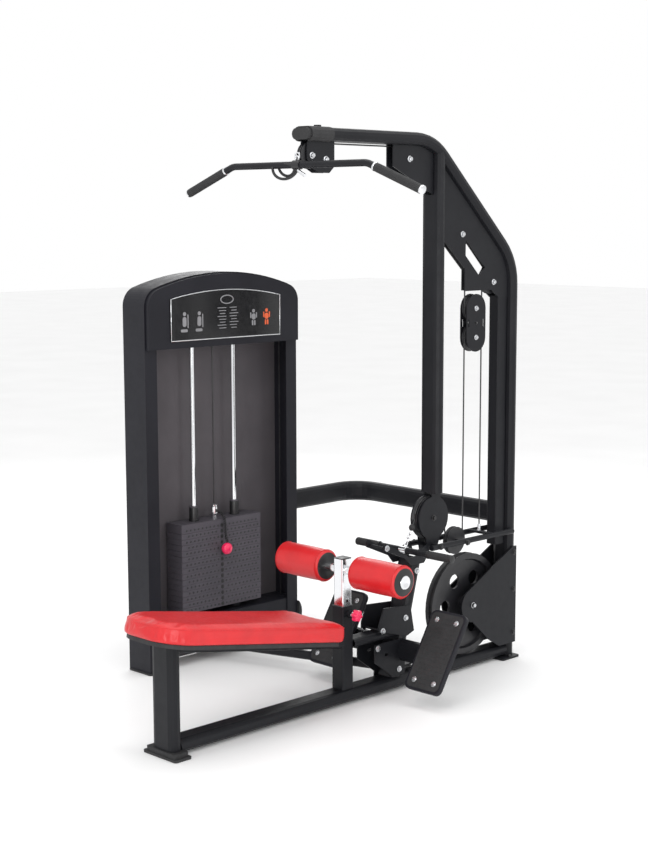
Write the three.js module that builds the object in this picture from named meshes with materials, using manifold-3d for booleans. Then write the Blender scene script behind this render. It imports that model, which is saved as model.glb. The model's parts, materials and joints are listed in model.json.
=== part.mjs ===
// Lat pulldown and low row machine with a weight stack tower.
// Millimetres. +X is the user's right, +Y is the way the user faces, +Z is up.
// The origin is on the floor under the rear upright, in the middle of its foot plate.
import * as THREE from 'three';
import { mergeVertices } from 'three/addons/utils/BufferGeometryUtils.js';
import Module from 'manifold-3d';

const wasm = await Module();
wasm.setup();

// ---- Driving dimensions ----
const TUBE_WIDE = 100; // flat-oval frame tube, across the machine
const TUBE_THIN = 50; // flat-oval frame tube, in the frame's plane
const WALL = 3;
const GAP = 0.5; // clearance between pieces that touch

const BOOM_Z = 2175; // centre line of the boom
const BOOM_TIP_Y = -1150;
const BOOM_CORNER_Y = -502;
const REAR_CORNER_Z = 1697;
const UPPER_BEND = 220;
const LOWER_BEND = 230;

const FRONT_UPRIGHT_Y = -461;
const INNER_UPRIGHT_Y = -55.5;
const MIDDLE_POST_Y = -973;
const FRONT_POST_Y = -1844;
const BASE_LOW = 8;
const BASE_TOP = BASE_LOW + TUBE_THIN;

const CABLE_R = 3;
const SMALL_R = 49; // rim radius of a small pulley
const SMALL_GROOVE = 45; // radius of the cable's centre line on it
const BLOCK_R = 57.5;
const BLOCK_GROOVE = 53.5;
const LOW_R = 92.5;
const LOW_GROOVE = 88;
const WHEEL_R = 214;
const WHEEL_GROOVE = 206.5;
const AXLE_R = 6;

// Pulley centres in the frame's plane, as [y, z].
const FRONT_PULLEY = [-1146, 2098];
const BOOM_PULLEY = [-623, 2098];
const DROP_PULLEY = [-315, 1807];
const BEND_PULLEY = [-118, 1610];
const BLOCK_Y = -216.5;
const BLOCK_UPPER_Z = 1505;
const BLOCK_LOWER_Z = 1386;
const LOW_PULLEY = [-475, 668];
const RETURN_PULLEY = [-322, 551];
const BIG_WHEEL = [-262.5, 274];
const ANCHOR_Y = -163;

const BASE_CABLE_Z = BIG_WHEEL[1] - WHEEL_GROOVE;
const TURN_PULLEY = [-SMALL_GROOVE, -600]; // flat pulley on the base, as [x, y]
const LINK_ANGLE = 18 * Math.PI / 180; // plan angle of the link tube from -X towards -Y

const TOWER_Y = -859;
const TOWER_HALF = 416;
const TOWER_BACK = -960;
const TOWER_FRONT = -820;
const TOWER_PEAK = 1650;
const ARCH_R = 1170;
const SHOULDER_R = 80;
const SHEET = 4;
const FLANGE = 60;
const HEADER_LOW = 1345;
const HEADER_DEEP = 20;
const ROD_X = -895;
const ROD_SPREAD = 113;
const ROD_R = 10;
const DECK_TOP = 196;
const STACK_LOW = 218.5;
const PLATE_PITCH = 24.5;
const PLATE_THICK = 23.3;
const RESTING_PLATES = 10;
const LIFTED_PLATES = 4;
const HEAD_THICK = 38;
const STACK_WIDE = 440;
const STACK_DEEP = 100;
const ROD_TOP = 1456;
const TOP_PULLEY_Z = 1535;
const UP_RUN_Y = -475; // the cable's upward run inside the tower

const SEAT_END_Y = -1110;
const SEAT_LONG = 872;
const SEAT_WIDE = 340;
const SEAT_THICK = 65;
const SEAT_LOW_Z = 296; // underside of the pad at its low end
const SEAT_TILT = 9.95 * Math.PI / 180;
const BOARD_THICK = 15;
const RAIL_WIDE = 80;
const RAIL_THIN = 35;

const SLEEVE = 60;
const KNEE_POST = 50;
const ROLLER_Z = 531;
const ROLLER_R = 63;
const ROLLER_IN = 83;
const ROLLER_OUT = 325;
const PIN_Z = 360;

const LAT_Y = -1202;
const LAT_Z = 2063;
const LAT_HALF = 614;
const LAT_BEND_X = 353;
const LAT_DROP = 97;
const LAT_R = 12.7;
const GRIP_R = 16;
const ROW_Y = -627;
const ROW_Z = 555;
const ROW_HALF = 257;
const ROW_R = 13;

const FOOTPLATE_X = 270;
const FOOTPLATE_AT = [-736, 210];
const FOOTPLATE_LEAN = 31.4 * Math.PI / 180;
const FOOTPLATE_SIZE = [180, 330, 20];

// ---- Materials ----
const finish = (color, roughness, metalness) => new THREE.MeshStandardMaterial({ color, roughness,
    metalness });
const frameBlack = () => finish(0x1d1e22, 0.55, 0.3);
const shellBlack = () => finish(0x232429, 0.5, 0.2);
const rubberBlack = () => finish(0x141415, 0.8, 0);
const pulleyBlack = () => finish(0x18181a, 0.45, 0);
const redVinyl = () => finish(0xd81f26, 0.45, 0);
const chrome = () => finish(0xd8dadd, 0.15, 1);
const steel = () => finish(0x3a3b3f, 0.4, 0.8);
const cableBlack = () => finish(0x0d0d0e, 0.4, 0);
const knobRed = () => finish(0xc2183c, 0.4, 0);
const placardBlack = () => finish(0x0a0a0b, 0.25, 0);

const machine = new THREE.Group();

function add(name, geometry, material) {
  const mesh = new THREE.Mesh(geometry, material);
  mesh.name = name;
  machine.add(mesh);
  return mesh;
}

// ---- Solids ----
function weld(geometry) {
  const bare = geometry.clone();
  bare.deleteAttribute('normal');
  bare.deleteAttribute('uv');
  return mergeVertices(bare, 1e-4);
}

function outward(geometry) {
  const welded = weld(geometry);
  const p = welded.attributes.position;
  const index = welded.index.array;
  const a = new THREE.Vector3();
  const b = new THREE.Vector3();
  const c = new THREE.Vector3();
  let volume = 0;
  for (let i = 0; i < index.length; i += 3) {
    a.fromBufferAttribute(p, index[i]);
    b.fromBufferAttribute(p, index[i + 1]);
    c.fromBufferAttribute(p, index[i + 2]);
    volume += a.dot(b.cross(c));
  }
  if (volume < 0) {
    for (let i = 0; i < index.length; i += 3) {
      [index[i], index[i + 1]] = [index[i + 1], index[i]];
    }
  }
  return welded;
}

function toManifold(geometry) {
  const g = outward(geometry);
  const mesh = new wasm.Mesh({
    numProp: 3,
    vertProperties: new Float32Array(g.attributes.position.array),
    triVerts: new Uint32Array(g.index.array),
  });
  return new wasm.Manifold(mesh);
}

function toGeometry(manifold) {
  const mesh = manifold.getMesh();
  const geometry = new THREE.BufferGeometry();
  geometry.setAttribute('position', new THREE.BufferAttribute(new Float32Array(mesh.vertProperties), 3));
  geometry.setIndex(new THREE.BufferAttribute(new Uint32Array(mesh.triVerts), 1));
  geometry.computeVertexNormals();
  return geometry;
}

const join = (...pieces) => toGeometry(pieces.map(toManifold).reduce((whole, piece) => whole.add(piece)));
const cut = (body, ...tools) => toGeometry(tools.map(toManifold).reduce(
  (whole, tool) => whole.subtract(tool), toManifold(body)));
const common = (one, other) => toGeometry(toManifold(one).intersect(toManifold(other)));

// ---- Shapes ----
// A flat-oval outline, with semicircles on its short sides.
function flatOval(wide, high, arcSteps = 6) {
  const r = Math.min(wide, high) / 2;
  const along = Math.abs(wide - high) / 2;
  const turn = wide >= high ? 0 : Math.PI / 2;
  const points = [];
  for (const side of [1, -1]) {
    for (let i = 0; i <= arcSteps; i++) {
      const angle = (side > 0 ? -Math.PI / 2 : Math.PI / 2) + Math.PI * i / arcSteps;
      const x = side * along + r * Math.cos(angle);
      const y = r * Math.sin(angle);
      points.push(new THREE.Vector2(x * Math.cos(turn) - y * Math.sin(turn),
          x * Math.sin(turn) + y * Math.cos(turn)));
    }
  }
  return new THREE.Shape(points);
}

function roundedRect(wide, high, radius, arcSteps = 3) {
  const points = [];
  const corners = [[1, -1], [1, 1], [-1, 1], [-1, -1]];
  corners.forEach(([sx, sy], k) => {
    for (let i = 0; i <= arcSteps; i++) {
      const angle = (k - 1) * Math.PI / 2 + i / arcSteps * Math.PI / 2;
      points.push(new THREE.Vector2(
        sx * (wide / 2 - radius) + radius * Math.cos(angle),
        sy * (high / 2 - radius) + radius * Math.sin(angle)));
    }
  });
  return new THREE.Shape(points);
}

function circle(r, x = 0, y = 0, steps = 16) {
  const points = [];
  for (let i = 0; i < steps; i++) {
    const angle = i / steps * 2 * Math.PI;
    points.push(new THREE.Vector2(x + r * Math.cos(angle), y + r * Math.sin(angle)));
  }
  return new THREE.Shape(points);
}

// A shape through the given points, always counter-clockwise.
function polygon(...points) {
  const corners = points.map(([x, y]) => new THREE.Vector2(x, y));
  return new THREE.Shape(THREE.ShapeUtils.isClockWise(corners) ? corners.reverse() : corners);
}

function withHoles(shape, ...holes) {
  shape.holes.push(...holes);
  return shape;
}

const hollowOval = (wide, high, wall) => withHoles(flatOval(wide, high), flatOval(wide - 2 * wall,
    high - 2 * wall));

// Straight runs joined by arcs of a given radius, with one ring at each end of every run and
// evenly spaced rings round each arc. `side` is the direction that the section's y axis keeps.
class BentPath extends THREE.Curve {
  constructor(corners, radii, side, arcSteps = 5) {
    super();
    this.side = side && side.clone().normalize();
    this.rings = [{ at: corners[0], dir: corners[1].clone().sub(corners[0]).normalize() }];
    for (let k = 1; k < corners.length - 1; k++) {
      const into = corners[k].clone().sub(corners[k - 1]).normalize();
      const out = corners[k + 1].clone().sub(corners[k]).normalize();
      const turn = into.angleTo(out);
      const radius = radii[k - 1];
      const reach = radius * Math.tan(turn / 2);
      const start = corners[k].clone().addScaledVector(into, -reach);
      const inward = out.clone().addScaledVector(into, -out.dot(into)).normalize();
      for (let i = 0; i <= arcSteps; i++) {
        const angle = turn * i / arcSteps;
        const at = start.clone()
          .addScaledVector(into, radius * Math.sin(angle))
          .addScaledVector(inward, radius * (1 - Math.cos(angle)));
        const dir = into.clone().multiplyScalar(Math.cos(angle)).addScaledVector(inward, Math.sin(angle));
        this.rings.push({ at, dir });
      }
    }
    const last = corners.length - 1;
    this.rings.push({ at: corners[last], dir: corners[last].clone().sub(corners[last - 1]).normalize() });
  }

  get steps() {
    return this.rings.length - 1;
  }

  getPointAt(u) {
    return this.rings[Math.round(u * this.steps)].at.clone();
  }

  getPoint(u) {
    return this.getPointAt(u);
  }

  getTangentAt(u) {
    return this.rings[Math.round(u * this.steps)].dir.clone();
  }

  computeFrenetFrames(segments, closed) {
    if (!this.side) {
      return super.computeFrenetFrames(segments, closed);
    }
    const tangents = this.rings.map((ring) => ring.dir.clone());
    const binormals = tangents.map(() => this.side.clone());
    const normals = tangents.map((tangent) => this.side.clone().cross(tangent));
    return { tangents, normals, binormals };
  }
}

const along = (path, shape) => new THREE.ExtrudeGeometry(shape, { steps: path.steps, extrudePath: path });
const X_AXIS = new THREE.Vector3(1, 0, 0);
const Z_AXIS = new THREE.Vector3(0, 0, 1);
const at = (x, y, z) => new THREE.Vector3(x, y, z);
const inPlane = ([y, z]) => at(0, y, z);

// A prism whose outline is drawn as (y, z) and whose thickness runs along X.
function plateX(shape, x0, x1) {
  const geometry = new THREE.ExtrudeGeometry(shape, { depth: x1 - x0, bevelEnabled: false });
  const basis = new THREE.Matrix4().makeBasis(at(0, 1, 0), at(0, 0, 1), at(1, 0, 0));
  return geometry.applyMatrix4(basis.setPosition(x0, 0, 0));
}

// A prism whose outline is drawn as (x, y) and that stands up from z0 to z1.
const plateZ = (shape, z0, z1) => new THREE.ExtrudeGeometry(
  shape, { depth: z1 - z0, bevelEnabled: false }).translate(0, 0, z0);

const box = (x0, x1, y0, y1, z0, z1) => new THREE.BoxGeometry(x1 - x0, y1 - y0, z1 - z0)
  .translate((x0 + x1) / 2, (y0 + y1) / 2, (z0 + z1) / 2);

const rodX = (r, x0, x1, y, z, steps = 12) => plateX(circle(r, y, z, steps), x0, x1);
const rodZ = (r, z0, z1, x, y, steps = 12) => plateZ(circle(r, x, y, steps), z0, z1);

// A ring turned about its own axis: `profile` lists [radius, along] points of its section.
function turned(profile, steps = 24) {
  const points = [...profile, profile[0]].map(([r, h]) => new THREE.Vector2(r, h));
  return new THREE.LatheGeometry(points, steps);
}

function pulleyRing(rim, groove, halfWide, steps = 20) {
  const bore = AXLE_R + 0.4;
  const lip = halfWide - 2;
  const floor = 0.99 * groove - CABLE_R - 0.5;
  return turned([
    [bore, -halfWide], [rim, -halfWide], [rim, -lip], [floor, -CABLE_R - 0.6], [floor, CABLE_R + 0.6],
    [rim, lip], [rim, halfWide], [bore, halfWide],
  ], steps);
}

function pulleyX(name, [y, z], rim, groove, halfWide = 11, x = 0, steps = 20) {
  const ring = pulleyRing(rim, groove, halfWide, steps).rotateZ(-Math.PI / 2).translate(x, y, z);
  add(name, outward(ring), pulleyBlack());
}

function pulleyFlat(name, [x, y], z) {
  const ring = pulleyRing(SMALL_R, SMALL_GROOVE, 7).rotateX(Math.PI / 2).translate(x, y, z);
  add(name, outward(ring), pulleyBlack());
}

// ---- Main frame ----
const mainCorners = [at(0, 0, 7), at(0, 0, REAR_CORNER_Z), at(0, BOOM_CORNER_Y, BOOM_Z), at(0,
    BOOM_TIP_Y, BOOM_Z)];
const mainPath = new BentPath(mainCorners, [LOWER_BEND, UPPER_BEND], X_AXIS, 6);
const mainEnvelope = along(mainPath, flatOval(TUBE_THIN + 2 * GAP, TUBE_WIDE + 2 * GAP));
const BOOM_LOW = BOOM_Z - TUBE_THIN / 2;
const BRACKET_IN = 14;
const BRACKET_OUT = 19;

function pairOfPlates(shape, inner, outer) {
  return [plateX(shape, inner, outer), plateX(shape.clone(), -outer, -inner)];
}

{
  const tube = along(mainPath, hollowOval(TUBE_THIN, TUBE_WIDE, WALL));
  const foot = cut(
    plateZ(roundedRect(144, 112, 10), 0, 8).translate(0, -24, 0),
    rodZ(5, -1, 9, 61, -24), rodZ(5, -1, 9, -61, -24));
  const front = polygon([-1166, BOOM_LOW + 1], [-1172, 2120], [-1172, 2085], [-1140, 2050], [-1112, 2036],
    [-1058, 2036], [-1032, 2060], [-1032, BOOM_LOW + 1]);
  const rear = polygon([-716, BOOM_LOW + 1], [-716, 2068], [-488, 1962], [-488, 2123], [-520, 2138.5],
    [-550, 2147], [-594, BOOM_LOW + 1]);
  const axles = [FRONT_PULLEY, BOOM_PULLEY, [-1078, 2066]].map(([y, z]) => rodX(AXLE_R, -28, 28, y, z));
  add('main_frame_tube', join(tube, foot, ...pairOfPlates(front, BRACKET_IN, BRACKET_OUT),
    ...pairOfPlates(rear, BRACKET_IN, BRACKET_OUT), ...axles), frameBlack());
}

{
  const capPath = (y0, y1) => new BentPath([at(0, y0, BOOM_Z), at(0, y1, BOOM_Z)], [], X_AXIS);
  const sleeve = along(capPath(-1062, BOOM_TIP_Y - 22), flatOval(TUBE_THIN + 5, TUBE_WIDE + 5));
  const nose = along(capPath(BOOM_TIP_Y - 21, BOOM_TIP_Y - 36), flatOval(TUBE_THIN - 8, TUBE_WIDE - 8));
  const socket = along(capPath(-1050, BOOM_TIP_Y - GAP), flatOval(TUBE_THIN + 2 * GAP, TUBE_WIDE + 2 * GAP));
  const slot = box(-24, 24, -1180, -1050, 2100, BOOM_LOW + 4);
  const button = rodZ(14, BOOM_Z + 26, BOOM_Z + 34, 0, -1100);
  add('boom_end_cap', cut(join(sleeve, nose, button), socket, slot), rubberBlack());
}

const basePath = new BentPath([at(0, FRONT_POST_Y + 25 + GAP, BASE_LOW + 25), at(0, -25 - GAP,
    BASE_LOW + 25)], [], X_AXIS);
const baseEnvelope = along(basePath, flatOval(TUBE_THIN + 2 * GAP, TUBE_WIDE + 2 * GAP));
add('base_tube', cut(along(basePath, hollowOval(TUBE_THIN, TUBE_WIDE, WALL)),
  box(-101, 101, -100 - GAP, 60, -1, BASE_LOW + GAP)), frameBlack());

{
  const low = plateZ(roundedRect(184, 76, 10), 0, 9);
  const high = plateZ(roundedRect(160, 66, 10), 8, 25);
  const foot = join(low, high).translate(0, FRONT_POST_Y, 0);
  add('front_foot', cut(foot, baseEnvelope), rubberBlack());
}

// ---- Bench ----
const sin = Math.sin(SEAT_TILT);
const cos = Math.cos(SEAT_TILT);
// A point of the bench, from its distance up the seat and its height square to the pad's underside.
const onSeat = (x, up, high) => at(x, SEAT_END_Y - up * cos + high * sin, SEAT_LOW_Z + up * sin + high * cos);
const railHigh = -(BOARD_THICK + 2 * GAP + RAIL_THIN / 2);
const sleeveBlock = box(-SLEEVE / 2 - GAP, SLEEVE / 2 + GAP, MIDDLE_POST_Y - SLEEVE / 2 - GAP,
    MIDDLE_POST_Y + 40, 50, 420);
{
  const railPath = new BentPath([onSeat(0, -115, railHigh), onSeat(0, 755, railHigh)], [], X_AXIS);
  const rail = cut(along(railPath, hollowOval(RAIL_THIN, RAIL_WIDE, 2.5)), sleeveBlock);
  const underBoard = onSeatPlane(box(-200, 200, -50, SEAT_LONG + 50, -BOARD_THICK - 2 * GAP, 100));
  const post = cut(plateZ(hollowOval(120, TUBE_THIN, WALL), 25 + GAP, 430).translate(0, FRONT_POST_Y, 0),
      underBoard);
  add('bench_frame', join(rail, post), frameBlack());
}

function onSeatPlane(geometry) {
  const basis = new THREE.Matrix4().makeBasis(at(-1, 0, 0), at(0, -cos, sin), at(0, sin, cos));
  return geometry.applyMatrix4(basis.setPosition(0, SEAT_END_Y, SEAT_LOW_Z));
}

// The pad's outline: square at the low end, well rounded at the high end.
function seatOutline(inset) {
  const half = SEAT_WIDE / 2 - inset;
  const low = inset;
  const high = SEAT_LONG - inset;
  const round = 130 - inset;
  const small = 25;
  const points = [];
  const corner = (x, y, r, from) => {
    for (let i = 0; i <= 5; i++) {
      const angle = from + i / 5 * Math.PI / 2;
      points.push(new THREE.Vector2(x + r * Math.cos(angle), y + r * Math.sin(angle)));
    }
  };
  corner(half - round, high - round, round, 0);
  corner(-half + round, high - round, round, Math.PI / 2);
  corner(-half + small, low + small, small, Math.PI);
  corner(half - small, low + small, small, 1.5 * Math.PI);
  return new THREE.Shape(points);
}

{
  const bevel = 10;
  const pad = new THREE.ExtrudeGeometry(seatOutline(bevel), {
    depth: SEAT_THICK - 2 * bevel, bevelThickness: bevel, bevelSize: bevel, bevelSegments: 2,
  }).translate(0, 0, bevel);
  add('seat_pad', outward(onSeatPlane(pad)), redVinyl());
  const board = plateZ(seatOutline(18), -BOARD_THICK - GAP, -GAP);
  add('seat_board', outward(onSeatPlane(board)), rubberBlack());
}

// ---- Inclined post with the footplate beam and the row bar's rest ----
const POST_SLOPE = 0.266; // Y run for each unit of height
const postY = (z) => -633 + (z - 360) * POST_SLOPE;
const postPath = new BentPath([at(0, postY(20), 20), at(0, postY(560), 560)], [], X_AXIS);
const postEnvelope = along(postPath, flatOval(TUBE_THIN + 2 * GAP, TUBE_WIDE + 2 * GAP));
const BEAM_Y = -684;
const BEAM_Z = 165;

// Moves a shape drawn on a footplate's face (across, up the plate, out of its face) to its place.
function onFootplate(geometry, side) {
  const lean = FOOTPLATE_LEAN;
  const up = at(0, Math.sin(lean), Math.cos(lean));
  const out = at(0, -Math.cos(lean), Math.sin(lean));
  const basis = new THREE.Matrix4().makeBasis(at(1, 0, 0), up, out);
  return geometry.applyMatrix4(basis.setPosition(side * FOOTPLATE_X, FOOTPLATE_AT[0], FOOTPLATE_AT[1]));
}

{
  const tube = cut(along(postPath, hollowOval(TUBE_THIN, TUBE_WIDE, WALL)),
    box(-60, 60, -900, -400, -10, BASE_TOP + GAP), box(-60, 60, -900, -400, 520, 700));
  const lid = box(-46, 46, postY(520) - 23, postY(520) + 23, 514, 519);
  const beam = plateX(flatOval(TUBE_THIN, 90), -250, 250).translate(0, BEAM_Y, BEAM_Z);
  const backings = [1, -1].map((side) => onFootplate(box(-60, 60, -110, 110, -29, -20 - GAP), side));
  const struts = [1, -1].map((side) => onFootplate(box(-45, 20, -75, 30, -60, -28), side));
  const gusset = polygon([-822, 262], [-822, 285], [-793, 352], [-640, 340], [-618, 232], [-660, 217]);
  const boxPlate = polygon([-844, 140], [-844, 212], [-690, 212], [-672, 180], [-672, 66], [-742, 66]);
  const slot = flatOval(22, 12);
  const slotHole = new THREE.Shape(slot.getPoints().map((p) => new THREE.Vector2(p.x - 777, p.y + 163)));
  const rest = polygon([-640, 500], [-668, 532], [-792, 584], [-794, 602], [-782, 612], [-768, 604],
      [-664, 546],
    [-650, 536], [-627, 533], [-604, 536], [-596, 556], [-540, 572], [-528, 540], [-560, 500]);
  const pins = [[-777, 590], [-603, 474], [-669, 293], [-800, 262]].map(([y, z]) => rodX(5, -58, 58, y, z));
  add('inclined_post', join(tube, lid, beam, ...backings, ...struts, ...pairOfPlates(gusset, 45, 50.5),
    ...pairOfPlates(withHoles(boxPlate, slotHole), 45, 50.5), ...pairOfPlates(rest, 44, 50), ...pins),
    frameBlack());
}

for (const [name, side] of [['footplate_left', -1], ['footplate_right', 1]]) {
  const [wide, long, thick] = FOOTPLATE_SIZE;
  add(name, outward(onFootplate(plateZ(roundedRect(wide, long, 26, 4), -thick, 0), side)), shellBlack());
}

// ---- Knee pad post ----
{
  const sleeve = plateZ(withHoles(roundedRect(SLEEVE, SLEEVE, 6), roundedRect(SLEEVE - 8, SLEEVE - 8, 3)),
    BASE_TOP + GAP, 390).translate(0, MIDDLE_POST_Y, 0);
  const railPath = new BentPath([at(0, MIDDLE_POST_Y + SLEEVE / 2 - 0.5, 235), at(0, -640, 235)], [], X_AXIS);
  const rail = cut(along(railPath, hollowOval(RAIL_THIN, RAIL_WIDE, 2.5)), postEnvelope,
    box(-60, 60, postY(235), -500, 100, 300));
  const boss = rodX(14, SLEEVE / 2 - 1, 50, MIDDLE_POST_Y, PIN_Z, 16);
  const bore = rodX(5.6, 20, 60, MIDDLE_POST_Y, PIN_Z);
  add('post_sleeve', cut(join(sleeve, rail, boss), bore), frameBlack());

  const tube = plateZ(withHoles(roundedRect(KNEE_POST, KNEE_POST, 5), roundedRect(KNEE_POST - 6,
      KNEE_POST - 6, 2)),
    130, 570).translate(0, MIDDLE_POST_Y, 0);
  const cap = plateZ(roundedRect(KNEE_POST, KNEE_POST, 5), 569, 574).translate(0, MIDDLE_POST_Y, 0);
  const axle = rodX(12.5, -ROLLER_OUT - 1, ROLLER_OUT + 1, MIDDLE_POST_Y, ROLLER_Z, 16);
  const ends = [-1, 1].map((s) => rodX(25, s > 0 ? ROLLER_OUT + 0.8 : -ROLLER_OUT - 5,
      s > 0 ? ROLLER_OUT + 5 : -ROLLER_OUT - 0.8,
    MIDDLE_POST_Y, ROLLER_Z, 20));
  const collars = [-1, 1].map((s) => rodX(18, s > 0 ? 24 : -ROLLER_IN + 1, s > 0 ? ROLLER_IN - 1 : -24,
    MIDDLE_POST_Y, ROLLER_Z, 16));
  const holes = [];
  for (let k = -2; k <= 6; k++) {
    holes.push(rodX(5.8, 15, 30, MIDDLE_POST_Y, PIN_Z - 25 * k, 8));
  }
  add('knee_post', cut(join(tube, cap, axle, ...ends, ...collars), ...holes), chrome());

  const shaft = rodX(5, KNEE_POST / 2 + GAP, 70, MIDDLE_POST_Y, PIN_Z);
  const knob = turned([[0.001, 62], [16, 62], [21, 68], [21, 86], [15, 94], [0.001, 94]], 12)
    .rotateZ(-Math.PI / 2).translate(0, MIDDLE_POST_Y, PIN_Z);
  add('height_pin', join(shaft, knob), knobRed());
}

for (const [name, side] of [['knee_roller_left', -1], ['knee_roller_right', 1]]) {
  const r = ROLLER_R;
  const ring = turned([[13.2, ROLLER_IN], [r - 8, ROLLER_IN], [r, ROLLER_IN + 8], [r, ROLLER_OUT - 8],
    [r - 8, ROLLER_OUT], [13.2, ROLLER_OUT]], 24).rotateZ(-side * Math.PI / 2);
  add(name, outward(ring.translate(0, MIDDLE_POST_Y, ROLLER_Z)), redVinyl());
}

// ---- Uprights ----
{
  const tube = plateZ(hollowOval(TUBE_WIDE, TUBE_THIN, WALL), 775, 2130).translate(0, FRONT_UPRIGHT_Y, 0);
  const lid = plateZ(flatOval(TUBE_WIDE, TUBE_THIN), 770, 776).translate(0, FRONT_UPRIGHT_Y, 0);
  const cableSlot = box(-9, 9, -500, -420, 1962, 2050);
  const disc = circle(88, ...LOW_PULLEY, 28);
  const upper = polygon([-486, 700], [-436, 700], [-436, 772], [-486, 772]);
  const lower = polygon([-525, 620], [-425, 620], [-455, 538], [-512, 538]);
  const plates = [disc, upper, lower].flatMap((shape) => pairOfPlates(shape, 18, 24));
  const axle = rodX(AXLE_R, -32, 32, ...LOW_PULLEY);
  const crossBore = rodX(8.4, -40, 40, -485, 556);
  add('front_upright', cut(join(tube, lid, ...plates, axle), mainEnvelope, cableSlot, crossBore),
      frameBlack());
}

{
  const tube = plateZ(withHoles(roundedRect(50, 60, 6), roundedRect(44, 54, 3)), 500, 1552)
    .translate(0, INNER_UPRIGHT_Y, 0);
  const inner = LOWER_BEND - TUBE_THIN / 2 - 1.5;
  const arc = [40, 30, 20, 10, 0].map((degrees) => {
    const angle = degrees * Math.PI / 180;
    return [-LOWER_BEND + inner * Math.cos(angle), 1598.4 + inner * Math.sin(angle)];
  });
  const top = [[-434, 2072], [-92, 1747], ...arc, [-26.5, 1545], [-84, 1545], [-108, 1562], [-128, 1578]];
  const near = polygon(...top, [-299, 1578], [-299, 1670], [-434, 1788]);
  const far = polygon(...top, [-262, 1578], [-262, 1662], [-398, 1784], [-434, 1816]);
  const nearWindow = polygon([-292, 1783], [-174, 1671], [-211, 1639], [-303, 1728]);
  const farWindow = polygon([-292, 1783], [-248, 1781], [-132, 1669], [-157, 1637], [-211, 1636], [-303,
      1728]);
  const axles = [DROP_PULLEY, BEND_PULLEY].map(([y, z]) => rodX(AXLE_R, -34, 34, y, z));
  add('inner_upright', join(tube, plateX(withHoles(near, nearWindow), 20, 26), plateX(withHoles(far,
      farWindow), -26, -20),
    ...axles), frameBlack());
}

{
  const bars = [-62.5, 62.5].map((x) => {
    const path = new BentPath([at(x, -530, 556), at(x, -18, 556)], [], X_AXIS);
    return along(path, circle(12, 0, 0, 12));
  });
  const anchor = box(-60, 60, ANCHOR_Y - 14, ANCHOR_Y + 14, 560, 568);
  const crossPin = rodX(8, -62, 62, -485, 556);
  const axle = rodX(AXLE_R, -62, 62, ...RETURN_PULLEY);
  add('side_bars', join(...bars, anchor, crossPin, axle), frameBlack());
}

// The big wheel's fork: an arm on each side of the rear upright, joined by the wheel's axle.
{
  const [y, z] = BIG_WHEEL;
  const arm = [];
  for (let i = 0; i <= 12; i++) {
    const angle = (125 + i * 12) * Math.PI / 180;
    arm.push([y + 72 * Math.cos(angle), z + 72 * Math.sin(angle)]);
  }
  const outline = polygon([18, 66], [18, 486], [-6, 486], ...arm, [-165, 112], [-90, 66]);
  const axle = rodX(10, -66, 66, y, z, 16);
  add('wheel_fork', join(...pairOfPlates(outline, 50.5, 57.5), axle), frameBlack());
}

// ---- Pulleys ----
pulleyX('front_pulley', FRONT_PULLEY, SMALL_R, SMALL_GROOVE);
pulleyX('boom_pulley', BOOM_PULLEY, SMALL_R, SMALL_GROOVE);
pulleyX('drop_pulley', DROP_PULLEY, SMALL_R, SMALL_GROOVE);
pulleyX('bend_pulley', BEND_PULLEY, SMALL_R, SMALL_GROOVE);
pulleyX('block_upper_pulley', [BLOCK_Y, BLOCK_UPPER_Z], BLOCK_R, BLOCK_GROOVE);
pulleyX('block_lower_pulley', [BLOCK_Y, BLOCK_LOWER_Z], BLOCK_R, BLOCK_GROOVE);
pulleyX('low_pulley', LOW_PULLEY, LOW_R, LOW_GROOVE, 14, 0, 28);
pulleyX('return_pulley', RETURN_PULLEY, BLOCK_R, BLOCK_GROOVE);
pulleyFlat('turn_pulley', TURN_PULLEY, BASE_CABLE_Z);

{
  const ring = turned([[10.4, -18], [34, -18], [34, -5], [WHEEL_R - 30, -5], [WHEEL_R - 24, -18],
      [WHEEL_R, -18],
    [WHEEL_R, -13], [0.99 * WHEEL_GROOVE - CABLE_R, -5], [0.99 * WHEEL_GROOVE - CABLE_R, 5], [WHEEL_R,
    13], [WHEEL_R, 18], [WHEEL_R - 24, 18],
    [WHEEL_R - 30, 5], [34, 5], [34, 18], [10.4, 18]], 40).rotateZ(-Math.PI / 2);
  const holes = [];
  for (let k = 0; k < 6; k++) {
    const angle = k * Math.PI / 3;
    holes.push(rodX(30, -20, 20, 118 * Math.cos(angle), 118 * Math.sin(angle), 16));
  }
  add('big_wheel', cut(ring, ...holes).translate(0, ...BIG_WHEEL), pulleyBlack());
}

// ---- Floating double-pulley block ----
{
  const middle = (BLOCK_UPPER_Z + BLOCK_LOWER_Z) / 2;
  const r = BLOCK_R + 1.5;
  const long = BLOCK_UPPER_Z - BLOCK_LOWER_Z + 2 * r;
  const slot = (y, wide, high) => box(-20, 20, y - wide, y + wide, middle - high, middle + high);
  const outline = polygon(...flatOval(2 * r, long, 12).getPoints().map((p) => [BLOCK_Y + p.x, middle + p.y]));
  const windows = [slot(BLOCK_Y, 11, 4), slot(BLOCK_Y - 46, 3, 15), slot(BLOCK_Y + 46, 3, 15)];
  const axles = [BLOCK_UPPER_Z, BLOCK_LOWER_Z].map((z) => rodX(AXLE_R, -24, 24, BLOCK_Y, z));
  add('block_bracket', cut(join(...pairOfPlates(outline, 14, 18), ...axles), ...windows), frameBlack());
}

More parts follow.
